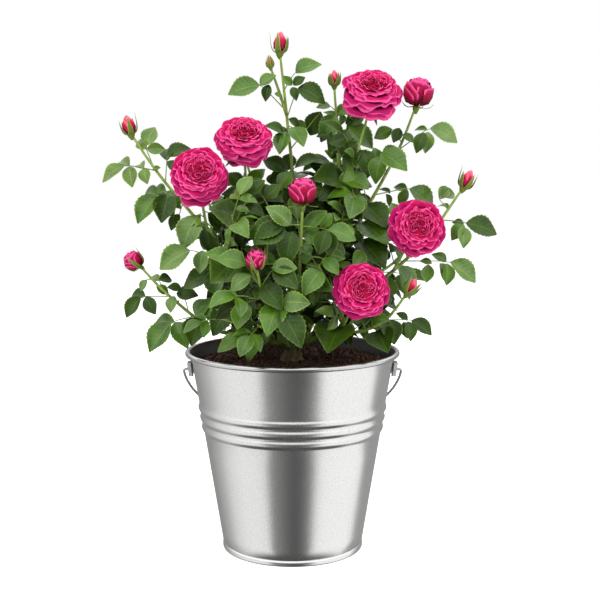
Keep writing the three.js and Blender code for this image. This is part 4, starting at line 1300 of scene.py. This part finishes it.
# The green cup under the petals: radius and height.
HIPS = {
    "open": ((0.03, -0.44), (0.06, -0.40), (0.085, -0.33), (0.07, -0.28), (0.06, -0.24)),
    "half": ((0.05, -0.80), (0.09, -0.71), (0.125, -0.62), (0.13, -0.54), (0.11, -0.48), (0.06, -0.44)),
    "bud": ((0.07, -0.98), (0.14, -0.88), (0.22, -0.74), (0.265, -0.62), (0.25, -0.53), (0.12, -0.47)),
}


def lay_petal(sheets, flower, shape, slot):
    points, faces, rims = shape
    sheets.add(flower.place(points), faces, slot, None, rims)


def add_petals(sheets, flower):
    """Whorl on whorl of petals, and in an open bloom its heart."""
    whorls = {"open": OPEN_WHORLS, "half": HALF_WHORLS, "bud": BUD_WHORLS}[flower.kind]
    dice = flower.dice
    turn = -1.9 if flower.kind == "half" else dice.random() * ANY_TURN
    for row, (count, half_width, knots, slot) in enumerate(whorls):
        turn += math.pi / count + 0.35
        for n in range(count):
            bearing = turn + n * 2 * math.pi / count + (dice.random() - 0.5) * 0.24
            if flower.kind == "open":
                inward = row / (len(OPEN_WHORLS) - 1)
                size = 1 + (dice.random() - 0.6) * lerp(0.14, 0.24, inward)
                tilt = (dice.random() - 0.5) * 0.24
                half_turn = math.radians(half_width * lerp(0.84, 1.14, dice.random()))
                shaped = [(r * size, z + r * tilt) for r, z in knots]
                shape = petal(flower, bearing, half_turn, shaped, ruffle=lerp(0.028, 0.012, inward),
                              rounding=0.2, droop=0.05, cup=lerp(0.05, 0.0, inward))
            elif flower.kind == "half":
                size, tilt = 1 + (dice.random() - 0.5) * 0.10, (dice.random() - 0.5) * 0.10
                shaped = [(r * size, z + r * tilt) for r, z in knots]
                shape = petal(flower, bearing, math.radians(half_width), shaped, ruffle=0.02, rounding=0.30,
                              skew=0.14)
            else:
                shape = petal(flower, bearing, math.radians(half_width), knots, rounding=0.18, skew=0.07)
            lay_petal(sheets, flower, shape, slot)
    if flower.kind == "open":
        add_heart(sheets, flower, turn)


def add_heart(sheets, flower, turn):
    """The folded lobes of an open bloom's heart, loose petals between them and the bed below."""
    dice = flower.dice
    folds = []
    lobes = int(dice.integers(4, 6))
    for lobe in range(lobes):
        bearing = turn + (lobe + 0.7 * (dice.random() - 0.5)) * 2 * math.pi / lobes
        away, size = lerp(0.10, 0.15, dice.random()), lerp(0.85, 1.15, dice.random())
        for k, radius in enumerate(LOBE_RADII):
            folds.append((bearing + 0.5 * (dice.random() - 0.5), away,
                          radius * size * lerp(0.9, 1.1, dice.random()),
                          lerp(120, 80, k / 3) * lerp(0.75, 1.15, dice.random()), 0 if k < 2 else 1))
    for n in range(LOOSE_FOLDS):
        folds.append((turn + n * 2.4, lerp(0.0, 0.11, dice.random()), lerp(0.02, 0.07, dice.random()),
                      lerp(45, 80, dice.random()), n % 2))
    for bearing, away, radius, half_turn, slot in folds:
        lay_petal(sheets, flower, fold(flower, bearing, away, radius, math.radians(half_turn)), slot)
    lay_petal(sheets, flower, heart_floor(), 0)


def sepal_cut(flower):
    """The curve of a sepal's length and its width: closed over a small bud, standing off a
    bigger one, folded back under a bloom."""
    lean = flower.dice.random()
    if flower.kind == "open":
        return ((0.05, -0.27), (0.18, -0.30), (0.30, -0.33), (0.40, -0.30 - 0.1 * lean)), 0.055
    if flower.kind == "half" and flower.size < 21:
        return ((0.12, -0.50), (0.58, -0.56), (0.58, -0.1), (0.6 + 0.2 * lean, 0.5)), 0.17
    if flower.kind == "half":
        return ((0.10, -0.50), (0.34, -0.60), (0.50, -0.56), (0.62, -0.60 + 0.3 * lean)), 0.09
    if flower.size < 10:
        return ((0.16, -0.60), (0.74, -0.50), (0.60, 0.30), (0.05, 0.95)), 0.36
    tip = (0.36 + 0.5 * lean, 0.38 + 0.42 * flower.dice.random())
    return ((0.16, -0.60), (0.64, -0.56), (0.58, 0.0), tip), 0.36 if flower.size < 15 else 0.25


def add_sepals(sheets, flower):
    """The sepals round a flower, pointed and a little cupped."""
    start = flower.dice.random() * ANY_TURN
    rows = 8 if flower.kind == "bud" else 7
    for n in range(SEPALS):
        knots, width = sepal_cut(flower)
        bearing = start + n * 2 * math.pi / SEPALS
        points, rims = [], []
        for j in range(rows + 1):
            v = j / rows
            (r, z), (nr, nz) = bend(knots, v)
            half = width * ((1 - v) ** 0.9 * (0.75 + 0.9 * v) + 0.03 * (1 - v))
            for u in (-1, -0.5, 0, 0.5, 1):
                turn = bearing + u * half / max(r, 0.12)
                puff = 0.02 * (1 - u * u)
                far = r + nr * puff
                points.append((far * math.cos(turn), far * math.sin(turn), z + nz * puff))
                rims.append(max(abs(u) ** 3, v ** 2))
        sheets.add(flower.place(points), sheet_faces(4, rows), 0, None, rims)


def add_hip(sheets, flower):
    """The green cup that the petals stand in."""
    profile, sides = HIPS[flower.kind], 12
    points = [(r * math.cos(2 * math.pi * i / sides), r * math.sin(2 * math.pi * i / sides), z)
              for r, z in profile for i in range(sides)]
    faces = [(j + i, j + (i + 1) % sides, j + sides + (i + 1) % sides, j + sides + i)
             for j in range(0, (len(profile) - 1) * sides, sides) for i in range(sides)]
    faces.append(tuple(reversed(range(sides))))
    faces.append(tuple((len(profile) - 1) * sides + i for i in range(sides)))
    sheets.add(flower.place(points), faces, 0)


# ---------------------------------------------------------------- operators: the bucket


def wall_radius(z_mm, settings):
    """The wall's outer radius at a height, both in millimetres."""
    foot = settings.base_radius / MM - FOOT_STEP
    return lerp(foot, settings.mouth_radius / MM, z_mm / (settings.height / MM))


class ROSE_OT_bucket(bpy.types.Operator):
    """Make the beaded bucket with its rolled rim and chime"""

    bl_idname = "rose.bucket"
    bl_label = "Bucket"

    def execute(self, context):
        s = context.scene.rose_bucket
        top = s.height / MM
        base = s.base_radius / MM

        def wall(z):
            return wall_radius(z, s)

        profile = [(60, 0.9), (70, 0.9), (74.2, 0.7), (75.6, 0.15), (base - 1.0, 0.0), (base - 0.2, 0.5),
                   (base + 0.25, 1.5), (base + 0.3, 3.0), (base + 0.2, 4.6), (base - 0.5, 5.6),
                   (base - 1.0, 6.2), (wall(7.4), 7.4)]
        z = 20.0
        beads = [b / MM for b in s.bead_heights]
        while z < beads[0] - 9:
            profile.append((wall(z), z))
            z += 18
        for centre in beads:
            for i in range(-BEAD_STEPS, BEAD_STEPS + 1):
                if i == -BEAD_STEPS and centre != beads[0]:
                    continue
                share = i / BEAD_STEPS
                place = centre + share * BEAD_HALF
                swell = (0.5 + 0.5 * math.cos(math.pi * share)) ** 0.8
                profile.append((wall(place) + BEAD_HEIGHT * swell, place))
        for z in (168, 182, 196, 207, top - 7.4):
            profile.append((wall(z), z))
        profile.append((wall(top - 6.0) + 0.1, top - 6.0))
        for i in range(ROLL_STEPS + 1):
            angle = math.radians(lerp(-ROLL_TURN, ROLL_TURN, i / ROLL_STEPS))
            profile.append((RIM_MID_R + ROLL_R * math.cos(angle), top - ROLL_R + ROLL_R * math.sin(angle)))
        profile.append((wall(top - 6) - 0.9, top - 6.0))
        for z in (200, 170, 120, 60, 3.4):
            profile.append((wall(z) - 1.0, z))
        profile += [(wall(2.4) - 1.8, 2.4), (60, 2.4)]
        bucket = turned("bucket_shell", [(r * MM, z * MM) for r, z in profile], 160)
        smooth(bucket, 50)
        steel = tuple(s.steel_colour)
        bucket.data.materials.append(steel_finish("galvanised_sheet", steel))
        # The inner wall's steel is the sheet's colour painted near black: painted shade down inside the
        # bucket.
        bucket.data.materials.append(steel_finish("inner_sheet_painted_shade", shade(steel, 0.16), (0.5, 0.65)))
        # The rolled rim's steel is the sheet's colour painted darker: painted shade on the rim.
        bucket.data.materials.append(steel_finish("rim_sheet_painted_shade", shade(steel, 0.78)))
        # Inward faces below the rim take the inner steel with its painted shade; faces at the top take the
        # rim steel with its painted shade.
        for face in bucket.data.polygons:
            centre = face.center
            inward = face.normal.x * centre.x + face.normal.y * centre.y < 0
            if inward and 0.003 < centre.z < (top - 1.5) * MM:
                face.material_index = 1
            elif centre.z > (top - 6.2) * MM:
                face.material_index = 2
        hand_over(bucket, PLANT_BODY, "bucket_steel", "bucket")
        return {"FINISHED"}


class ROSE_OT_ears(bpy.types.Operator):
    """Make the two riveted ears that the bail hooks into"""

    bl_idname = "rose.ears"
    bl_label = "Ears"

    def execute(self, context):
        s = context.scene.rose_bucket
        # The ears' steel is the sheet's colour darkened to half: painted shade on the ears.
        steel = steel_finish("ear_steel_painted_shade", shade(tuple(s.steel_colour), 0.5), (0.3, 0.42))
        lean = math.atan2(wall_radius(HEIGHT, s) - wall_radius(0, s), HEIGHT)
        for side, node in ((1, "ear_right"), (-1, "ear_left")):
            outline = [(-13, 0), (-8.4, 0), (-6.4, 4.4), (6.4, 4.4), (8.4, 0), (13, 0)]
            (y, out), (next_y, _) = outline[:2]
            deselect_all()
            bpy.ops.mesh.primitive_plane_add(
                size=1, location=(out, (y + next_y) / 2, 0), rotation=(0, math.pi / 2, 0))
            plate = context.object
            plate.scale = (15, next_y - y, 1)
            settle(plate)
            for vertex in plate.data.vertices:
                vertex.select = vertex.co.y > (y + next_y) / 2
            for edge in plate.data.edges:
                edge.select = all(plate.data.vertices[v].select for v in edge.vertices)
            for face in plate.data.polygons:
                face.select = False
            bpy.ops.object.mode_set(mode="EDIT")
            bpy.ops.mesh.select_mode(type="EDGE")
            for (y, out), (next_y, next_out) in zip(outline[1:], outline[2:]):
                bpy.ops.mesh.extrude_region_move(
                    TRANSFORM_OT_translate={"value": (next_out - out, next_y - y, 0)})
            bpy.ops.object.mode_set(mode="OBJECT")
            apply_modifier(plate, "SOLIDIFY", thickness=1.3, offset=1.0)
            deselect_all()
            bpy.ops.mesh.primitive_cylinder_add(
                vertices=32, radius=2.4, depth=14, location=(4, 0, 0), rotation=(0, math.pi / 2, 0))
            drill = context.object
            apply_modifier(plate, "BOOLEAN", object=drill, operation="DIFFERENCE", solver="EXACT")
            bpy.data.objects.remove(drill)
            apply_modifier(plate, "BEVEL", width=0.35, segments=2, limit_method="ANGLE",
                           angle_limit=math.radians(35))
            parts = [plate]
            for y in (-11, 11):
                deselect_all()
                bpy.ops.mesh.primitive_uv_sphere_add(
                    segments=20, ring_count=12, radius=2.1, location=(1.2, y, 0))
                context.object.scale = (0.62, 1, 1)
                settle(context.object)
                parts.append(context.object)
            ear = join(parts, node + "_strap")
            centre = (wall_radius(PIVOT_Z, s) + 0.65, 0, PIVOT_Z + 0.85)
            place = (Matrix.Scale(MM, 4) @ Matrix.Rotation(0 if side > 0 else math.pi, 4, "Z")
                     @ Matrix.Translation(centre) @ Matrix.Rotation(lean, 4, "Y"))
            ear.data.transform(place)
            smooth(ear, 35)
            ear.data.materials.append(steel)
            hand_over(ear, PLANT_BODY, "bucket_steel", node)
        return {"FINISHED"}


class ROSE_OT_bail(bpy.types.Operator):
    """Make the wire bail, hooked in through both ears"""

    bl_idname = "rose.bail"
    bl_label = "Bail"

    def execute(self, context):
        s = context.scene.rose_bucket
        half, depth = 120.4, 130.0
        pin = wall_radius(PIVOT_Z, s) + 1.9
        ca, sa = math.cos(s.bail_angle), math.sin(s.bail_angle)

        def lay(x, d):
            return x, d * ca, PIVOT_Z - d * sa

        hook = [(pin, 0), (half - 4, 0), (half - 1.1, 1.3)]
        points = [lay(x, d) for x, d in hook]
        for i in range(37):
            angle = lerp(0.036, math.pi - 0.036, i / 36)
            points.append(lay(half * math.cos(angle), depth * math.sin(angle)))
        points += [lay(-x, d) for x, d in reversed(hook)]
        deselect_all()
        bpy.ops.curve.primitive_nurbs_path_add(location=(0, 0, 0))
        bail = context.object
        line = bail.data.splines[0]
        line.points.add(len(points) - len(line.points))
        for point, spot in zip(line.points, points):
            point.co = (*(c * MM for c in spot), 1)
        line.order_u, line.resolution_u, line.use_endpoint_u = 3, 6, True
        bail.data.bevel_depth, bail.data.bevel_resolution, bail.data.use_fill_caps = s.wire_radius, 6, True
        bpy.ops.object.convert(target="MESH")
        bail = context.object
        bail.name = bail.data.name = "bail_wire"
        bail.data.materials.clear()
        bail.data.materials.append(wire_finish())
        smooth(bail, 45)
        hand_over(bail, BAIL_BODY, "bail_wire", "bail")
        return {"FINISHED"}


class ROSE_OT_compost(bpy.types.Operator):
    """Make the crumbly compost in the bucket's mouth"""

    bl_idname = "rose.compost"
    bl_label = "Compost"

    def execute(self, context):
        s = context.scene.rose_bucket
        dice = np.random.default_rng(11)
        inner = wall_radius(SOIL_Z, s) - 1.6
        profile = [(wall_radius(4, s) - 3, 4), (wall_radius(120, s) - 3, 120), (inner - 0.6, 203.5),
                   (inner - 1.5, 207.2)]
        bed = turned("compost_bed", [(r * MM, z * MM) for r, z in profile], 72)
        make_active(bed)
        bpy.ops.object.mode_set(mode="EDIT")
        bm = bmesh.from_edit_mesh(bed.data)
        for face in bm.faces:
            face.select_set(face.normal.z > 0.9)
        bmesh.update_edit_mesh(bed.data)
        bpy.ops.mesh.select_mode(type="FACE")
        for share in (0.93, 0.9, 0.88, 0.85, 0.82, 0.78, 0.72, 0.6, 0.4):
            bpy.ops.mesh.inset(thickness=0.0001)
            bpy.ops.transform.resize(value=(share, share, 1), center_override=(0, 0, 0.2072))
        bpy.ops.object.mode_set(mode="OBJECT")
        for vertex in bed.data.vertices:
            co = vertex.co
            r = math.hypot(co.x, co.y)
            if co.z > 0.206:
                mound = 0.0016 * (1 - (r / 0.11) ** 2)
                swells = 0.0012 * math.sin(71 * co.x + 1.3) * math.cos(63 * co.y)
                lumps = 0.0007 * math.sin(190 * co.x * 1.3 + 170 * co.y)
                co.z += mound + (swells + lumps) - (0.0012 if r > 0.1 else 0)
        smooth(bed, 70)
        crumbs = Sheets()
        bm = bmesh.new()
        bmesh.ops.create_icosphere(bm, subdivisions=1, radius=1.0)
        lump = np.array([v.co for v in bm.verts])
        lump_faces = [tuple(v.index for v in f.verts) for f in bm.faces]
        bm.free()
        for _ in range(CRUMBS):
            r = (inner - 3.5) * math.sqrt(dice.random())
            angle = dice.random() * 2 * math.pi
            if r < STEM_GAP:
                continue
            size = 0.5 + 2.1 * dice.random() ** 3
            stretch = 0.6 + 0.8 * dice.random(3)
            spin = np.array(Quaternion(dice.normal(size=4)).normalized().to_matrix())
            points = (lump * (1 + 0.35 * (dice.random((len(lump), 1)) - 0.5)) * stretch) @ spin.T * size
            x, y = r * math.cos(angle), r * math.sin(angle)
            z = (SOIL_Z - 1.3 + 1.6 * (1 - (r / 110) ** 2)
                 + 1.2 * math.sin(0.071 * x + 1.3) * math.cos(0.063 * y))
            crumbs.add(points + (x, y, z), lump_faces, int(dice.random() < 0.3))
        loose = crumbs.build("compost_crumbs", [compost_finish("compost_dark", tuple(s.soil_colour)),
                                                compost_finish("compost_red", (0.10, 0.035, 0.018))])
        bed.data.materials.append(compost_finish("compost", tuple(s.soil_colour)))
        hand_over(bed, PLANT_BODY, "compost", "soil")
        hand_over(loose, PLANT_BODY, "compost", "soil")
        return {"FINISHED"}


# ---------------------------------------------------------------- operators: the plant

GROWN = {}


def grown_bush(context):
    """The grown bush, worked out once for the canes and the leaves."""
    if not GROWN:
        room, bush = grow_bush()
        fill_bush(room, bush, context.scene.rose_plant.filling_gap / MM)
        GROWN["bush"] = bush
    return GROWN["bush"]


class ROSE_OT_canes(bpy.types.Operator):
    """Make the trunk, the canes and their prickles"""

    bl_idname = "rose.canes"
    bl_label = "Canes"

    def execute(self, context):
        s = context.scene.rose_plant
        bush = grown_bush(context)
        bark = bark_finish("old_bark", tuple(s.cane_colour), True)
        skin = bark_finish("cane_skin", tuple(s.cane_colour), False)
        profile = [(15.0, -1.5), (14.2, 0), (12.2, 2), (10.4, 5), (9.2, 9), (8.8, 13), (9.8, 17),
                   (10.9, 21), (10.2, 24.5), (7.4, 27), (3.0, 28)]
        stump = turned("stump", [(r * MM, (SOIL_Z + z) * MM) for r, z in profile], 40)
        apply_modifier(stump, "SUBSURF", levels=2, render_levels=2)
        lumps = bpy.data.textures.new("bark_lumps", "CLOUDS")
        lumps.noise_scale = 0.007
        apply_modifier(stump, "DISPLACE", texture=lumps, strength=0.0035, mid_level=0.5,
                       texture_coords="LOCAL")
        smooth(stump, 80)
        stump.data.materials.append(bark)
        dice = np.random.default_rng(5)
        limbs = Sheets()
        for owner, mass in enumerate(bush):
            bough, main = mass["bough"], mass["paths"][0]
            limbs.add(*tube(bough, ([0, 0.25, 1], [CANE_R + 1.0, CANE_R, FORK_R]), 12, 14, 0.05, owner), 0)
            bridge = Path([bough.at(0.97), main.at(0), main.at(0.04)])
            limbs.add(*tube(bridge, ([0, 1], [FORK_R * 1.01, FORK_R * 0.99]), 12, 4), 0)
            for stem, path in enumerate(mass["paths"]):
                start = FORK_R if stem == 0 else SHOOT_R
                steps = max(6, round(path.length / 9))
                radii = ([0, 1], [start, PEDUNCLE_R * 0.95])
                limbs.add(*tube(path, radii, 10, steps, 0.03, owner + stem), 0)
                self.prickle(limbs, path, start, dice)
            self.prickle(limbs, bough, CANE_R, dice)
        canes = limbs.build("canes", [skin])
        hand_over(canes, PLANT_BODY, "cane_bark", *BOUGH_NODES)
        hand_over(stump, PLANT_BODY, "trunk_bark", "trunk")
        return {"FINISHED"}

    def prickle(self, limbs, path, radius, dice):
        for _ in range(int(path.length / 26)):
            share = 0.06 + 0.6 * dice.random()
            heading = path.heading(share)
            out = unit(np.cross(heading, dice.normal(size=3)))
            side = np.cross(heading, out)
            foot = path.at(share) + out * radius * 0.5
            size = 1.6 + 1.2 * dice.random()
            points = [foot + heading * size, foot + side * 0.5 * size, foot - heading * 0.9 * size,
                      foot - side * 0.5 * size, foot + out * (1.5 * size) - heading * 0.9 * size]
            limbs.add(points, [(0, 1, 4), (1, 2, 4), (2, 3, 4), (3, 0, 4), (3, 2, 1, 0)], 0)


class ROSE_OT_leaves(bpy.types.Operator):
    """Make the twigs and the compound leaves"""

    bl_idname = "rose.leaves"
    bl_label = "Leaves"

    def execute(self, context):
        s = context.scene.rose_plant
        bush = grown_bush(context)
        leaf, young = tuple(s.leaf_colour), tuple(s.young_colour)
        # Painted shade and light: the first two finishes are the leaf colour darkened for leaves deep in
        # the crown, and the fourth is lightened towards the young colour for leaves that stand out and
        # high. The middle one and the last are the leaves' own colours.
        finishes = [
            leaf_finish("leaf_painted_deep_shade", shade(leaf, 0.13), 0.42, 0.12),
            leaf_finish("leaf_painted_shade", shade(leaf, 0.42), 0.36, 0.3),
            leaf_finish("leaf_mid", shade(leaf, 0.98), 0.34, 0.6),
            leaf_finish("leaf_painted_light", tuple(lerp(a, b, 0.43) for a, b in zip(leaf, young)), 0.35, 0.75),
            leaf_finish("leaf_young", young, 0.42, 0.5),
        ]
        dice = np.random.default_rng(23)
        twig_sheets = Sheets()
        for piece, names in LEAF_GROUPS.items():
            sheets = Sheets()
            for mass in bush:
                if mass["name"] not in names:
                    continue
                for twig in mass["twigs"]:
                    twig_sheets.add(*tube(twig, ([0, 1], [SHOOT_R * 0.75, PEDUNCLE_R * 0.6]), 6, 8), 0)
                for plan in mass["leaves"] + mass["filling"]:
                    self.leaf(sheets, twig_sheets, plan, dice)
            blades = sheets.build(piece, finishes)
            hand_over(blades, PLANT_BODY, "foliage", *["foliage_" + n for n in names])
        twig_skin = bark_finish("twig_skin", shade(tuple(s.cane_colour), 0.8), False)
        twigs = twig_sheets.build("twigs", [twig_skin])
        hand_over(twigs, PLANT_BODY, "foliage")
        return {"FINISHED"}

    def leaf(self, sheets, twigs, plan, dice):
        """Adds a leaf, painted paler the farther out and the higher it stands and darker deep in the crown:
        painted light and shade.
        """
        base, end, tip = plan["base"], plan["end"], plan["tip"]
        given = "stalk" in plan
        # The finish is dealt by how far out and how high the leaf stands: painted light and shade, with
        # some random spread.
        reach = math.hypot(tip[0], tip[1]) / 150 + (tip[2] - 300) / 260
        painted_light_tone = reach * 1.9 + 0.35 + dice.normal() * 0.75
        slot = int(min(4, max(1.2 if given else 0, painted_light_tone)))
        sag = (base + end) / 2 + plan["face"] * plan["length"] * 0.02
        stalk = Path([base, sag, end, end + (tip - end) * 0.04])
        if plan.get("stalk", True):
            twigs.add(*tube(stalk, ([0, 1], [0.7, 0.42]), 5, 6), 0)
        for leaflet in plan["leaflets"]:
            add_leaflet(sheets, leaflet, slot, dice, 0.3 if given else 1.0)


class ROSE_OT_blooms(bpy.types.Operator):
    """Make the open blooms, the half-open ones, the buds and their sepals"""

    bl_idname = "rose.blooms"
    bl_label = "Blooms"

    def execute(self, context):
        s = context.scene.rose_blooms
        plant = context.scene.rose_plant
        petal_hue, guard = tuple(s.petal_colour), tuple(s.guard_colour)
        heart, edge = tuple(s.heart_colour), tuple(s.edge_colour)
        between = tuple(lerp(a, b, 0.5) for a, b in zip(heart, petal_hue))
        finishes = [
            petal_finish("petal_heart", heart, shade(heart, 0.34), edge, 0.88),
            petal_finish("petal_inner", between, shade(heart, 0.3), edge, 0.91),
            petal_finish("petal_outer", petal_hue, shade(petal_hue, 0.4), edge, 0.93),
            petal_finish("petal_guard", guard, shade(guard, 0.4), shade(edge, 0.9), 0.95),
            petal_finish("petal_shut", (0.40, 0.010, 0.050), (0.24, 0.006, 0.03), (0.74, 0.12, 0.18), 0.80),
            # The furled petals are the heart colour darkened: partly the half-open blooms' own deeper
            # crimson, partly painted shade.
            petal_finish("petal_furled", shade(heart, 0.56), shade(heart, 0.2), shade(edge, 0.8), 0.92),
        ]
        sepal_skin = petal_finish("sepal_skin", shade(tuple(plant.cane_colour), 0.7),
                                  shade(tuple(plant.cane_colour), 0.6), (0.36, 0.30, 0.15), 0.85)
        sheets = {"open": Sheets(), "half": Sheets(), "bud": Sheets()}
        greens = Sheets()
        flowers = [shoot["flower"] for _, shoots in MASSES.values()
                   for shoot in shoots if "flower" in shoot]
        for seed, given in enumerate(flowers, FIRST_SEED):
            flower = Flower(*given, seed)
            add_petals(sheets[flower.kind], flower)
            add_hip(greens, flower)
            add_sepals(greens, flower)
        for kind, name in (("open", "open_blooms"), ("half", "half_open_blooms"), ("bud", "buds")):
            piece = sheets[kind].build(name, finishes)
            hand_over(piece, PLANT_BODY, "blossom")
        piece = greens.build("sepals", [sepal_skin])
        hand_over(piece, PLANT_BODY, "foliage")
        return {"FINISHED"}


# ---------------------------------------------------------------- operator: the stage


# Each lamp's place in metres, the side of its square and its power in watts.
LAMPS = (
    ("key", (-0.9, -1.3, 1.7), 1.1, 26),
    ("fill", (1.3, -1.0, 1.1), 1.1, 12),
    ("top", (0.1, 0.2, 2.1), 1.6, 26),
    ("back", (0.4, 1.6, 1.3), 1.2, 14),
)
# What the steel mirrors: greys round the horizon by bearing in degrees, then greys by height.
PANELS = (
    (-180, 0.45), (-148, 0.34), (-118, 0.62), (-100, 1.0), (-78, 1.2), (-40, 1.2), (-33, 0.36), (-20, 0.26),
    (0, 0.12), (12, 0.12), (28, 0.26), (38, 1.35), (110, 1.35), (119, 0.42), (160, 0.42), (172, 0.45),
)
DOME = ((0.0, 0.1), (0.08, 0.12), (0.14, 0.0), (0.62, 0.0), (0.68, 1.6), (1.0, 1.6))
BELT = ((0.0, 0.0), (0.08, 0.0), (0.14, 1.0), (0.62, 1.0), (0.68, 0.0), (1.0, 0.0))


class ROSE_OT_stage(bpy.types.Operator):
    """Set the floor, the light and the camera"""

    bl_idname = "rose.stage"
    bl_label = "Stage"

    def execute(self, context):
        s = context.scene.rose_stage
        deselect_all()
        bpy.ops.mesh.primitive_plane_add(size=12, location=(0, 0, 0))
        floor = context.object
        floor.name = "studio_floor"
        floor.data.materials.append(floor_finish())
        floor.visible_glossy = False
        camera = bpy.data.cameras.new("camera")
        camera.lens = s.lens
        camera.sensor_width = 36
        holder = bpy.data.objects.new("camera", camera)
        holder.location = s.camera_place
        holder.rotation_euler = (math.pi / 2 - s.camera_tilt, 0, 0)
        context.scene.collection.objects.link(holder)
        context.scene.camera = holder
        context.scene.view_settings.view_transform = "Standard"
        for lamp in LAMPS:
            self.light(*lamp)
        self.world()
        return {"FINISHED"}

    def light(self, name, place, size, power):
        data = bpy.data.lights.new(name, "AREA")
        data.size = size
        data.energy = power
        lamp = bpy.data.objects.new(name, data)
        lamp.location = place
        lamp.rotation_euler = (Vector((0, 0, 0.3)) - Vector(place)).to_track_quat("-Z", "Y").to_euler()
        lamp.visible_glossy = False
        bpy.context.scene.collection.objects.link(lamp)

    def world(self):
        """A white studio with upright panels and dark flags, which the steel mirrors."""
        world = bpy.data.worlds.new("studio")
        bpy.context.scene.world = world
        world.use_nodes = True
        world.node_tree.nodes.clear()
        studio = Nodes(world.node_tree)
        coordinates = studio.node("ShaderNodeTexCoord")
        split = studio.node("ShaderNodeSeparateXYZ", {0: coordinates.outputs["Generated"]}).outputs
        bearing = studio.math("ARCTAN2", split["X"], studio.math("MULTIPLY", split["Y"], -1))
        share = studio.span(bearing, 0, 1, -math.pi, math.pi)
        bands = studio.greys(share, [((angle + 180) / 360, grey) for angle, grey in PANELS])
        height = studio.span(split["Z"], 0, 1, -1, 1)
        sides = studio.mix("MULTIPLY", 1, bands, studio.greys(height, BELT))
        mirrored = studio.mix("ADD", 1, sides, studio.greys(height, DOME))
        rays = studio.node("ShaderNodeLightPath").outputs
        strength = studio.span(rays["Is Diffuse Ray"], 0.9, 0.5, 0, 1)
        lit = studio.node("ShaderNodeBackground", {"Color": mirrored, "Strength": strength})
        plain = studio.node("ShaderNodeBackground", Color=(1, 1, 1, 1), Strength=1.0)
        seen = studio.node("ShaderNodeMixShader", {
            0: rays["Is Camera Ray"], 1: lit.outputs[0], 2: plain.outputs[0]})
        studio.node("ShaderNodeOutputWorld", {0: seen.outputs[0]})


# ---------------------------------------------------------------- panel and registration

STEPS = (ROSE_OT_bucket, ROSE_OT_ears, ROSE_OT_bail, ROSE_OT_compost, ROSE_OT_canes, ROSE_OT_leaves,
         ROSE_OT_blooms, ROSE_OT_stage)


class ROSE_PT_panel(bpy.types.Panel):
    """Lists the steps that build the rose bush"""

    bl_idname = "ROSE_PT_panel"
    bl_label = "Rose Bush"
    bl_space_type = "VIEW_3D"
    bl_region_type = "UI"
    bl_category = "Rose Bush"

    def draw(self, context):
        for step in STEPS:
            self.layout.operator(step.bl_idname)


SETTINGS = {
    "rose_bucket": BucketSettings,
    "rose_plant": PlantSettings,
    "rose_blooms": BloomSettings,
    "rose_stage": StageSettings,
}
CLASSES = (*SETTINGS.values(), *STEPS, ROSE_PT_panel)


def register():
    for cls in CLASSES:
        bpy.utils.register_class(cls)
    for name, cls in SETTINGS.items():
        setattr(bpy.types.Scene, name, bpy.props.PointerProperty(type=cls))


def unregister():
    for name in SETTINGS:
        delattr(bpy.types.Scene, name)
    for cls in reversed(CLASSES):
        bpy.utils.unregister_class(cls)


def main():
    register()
    bpy.ops.rose.bucket()
    bpy.ops.rose.ears()
    bpy.ops.rose.bail()
    bpy.ops.rose.compost()
    bpy.ops.rose.canes()
    bpy.ops.rose.leaves()
    bpy.ops.rose.blooms()
    bpy.ops.rose.stage()
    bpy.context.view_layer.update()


if __name__ == "__main__":
    main()
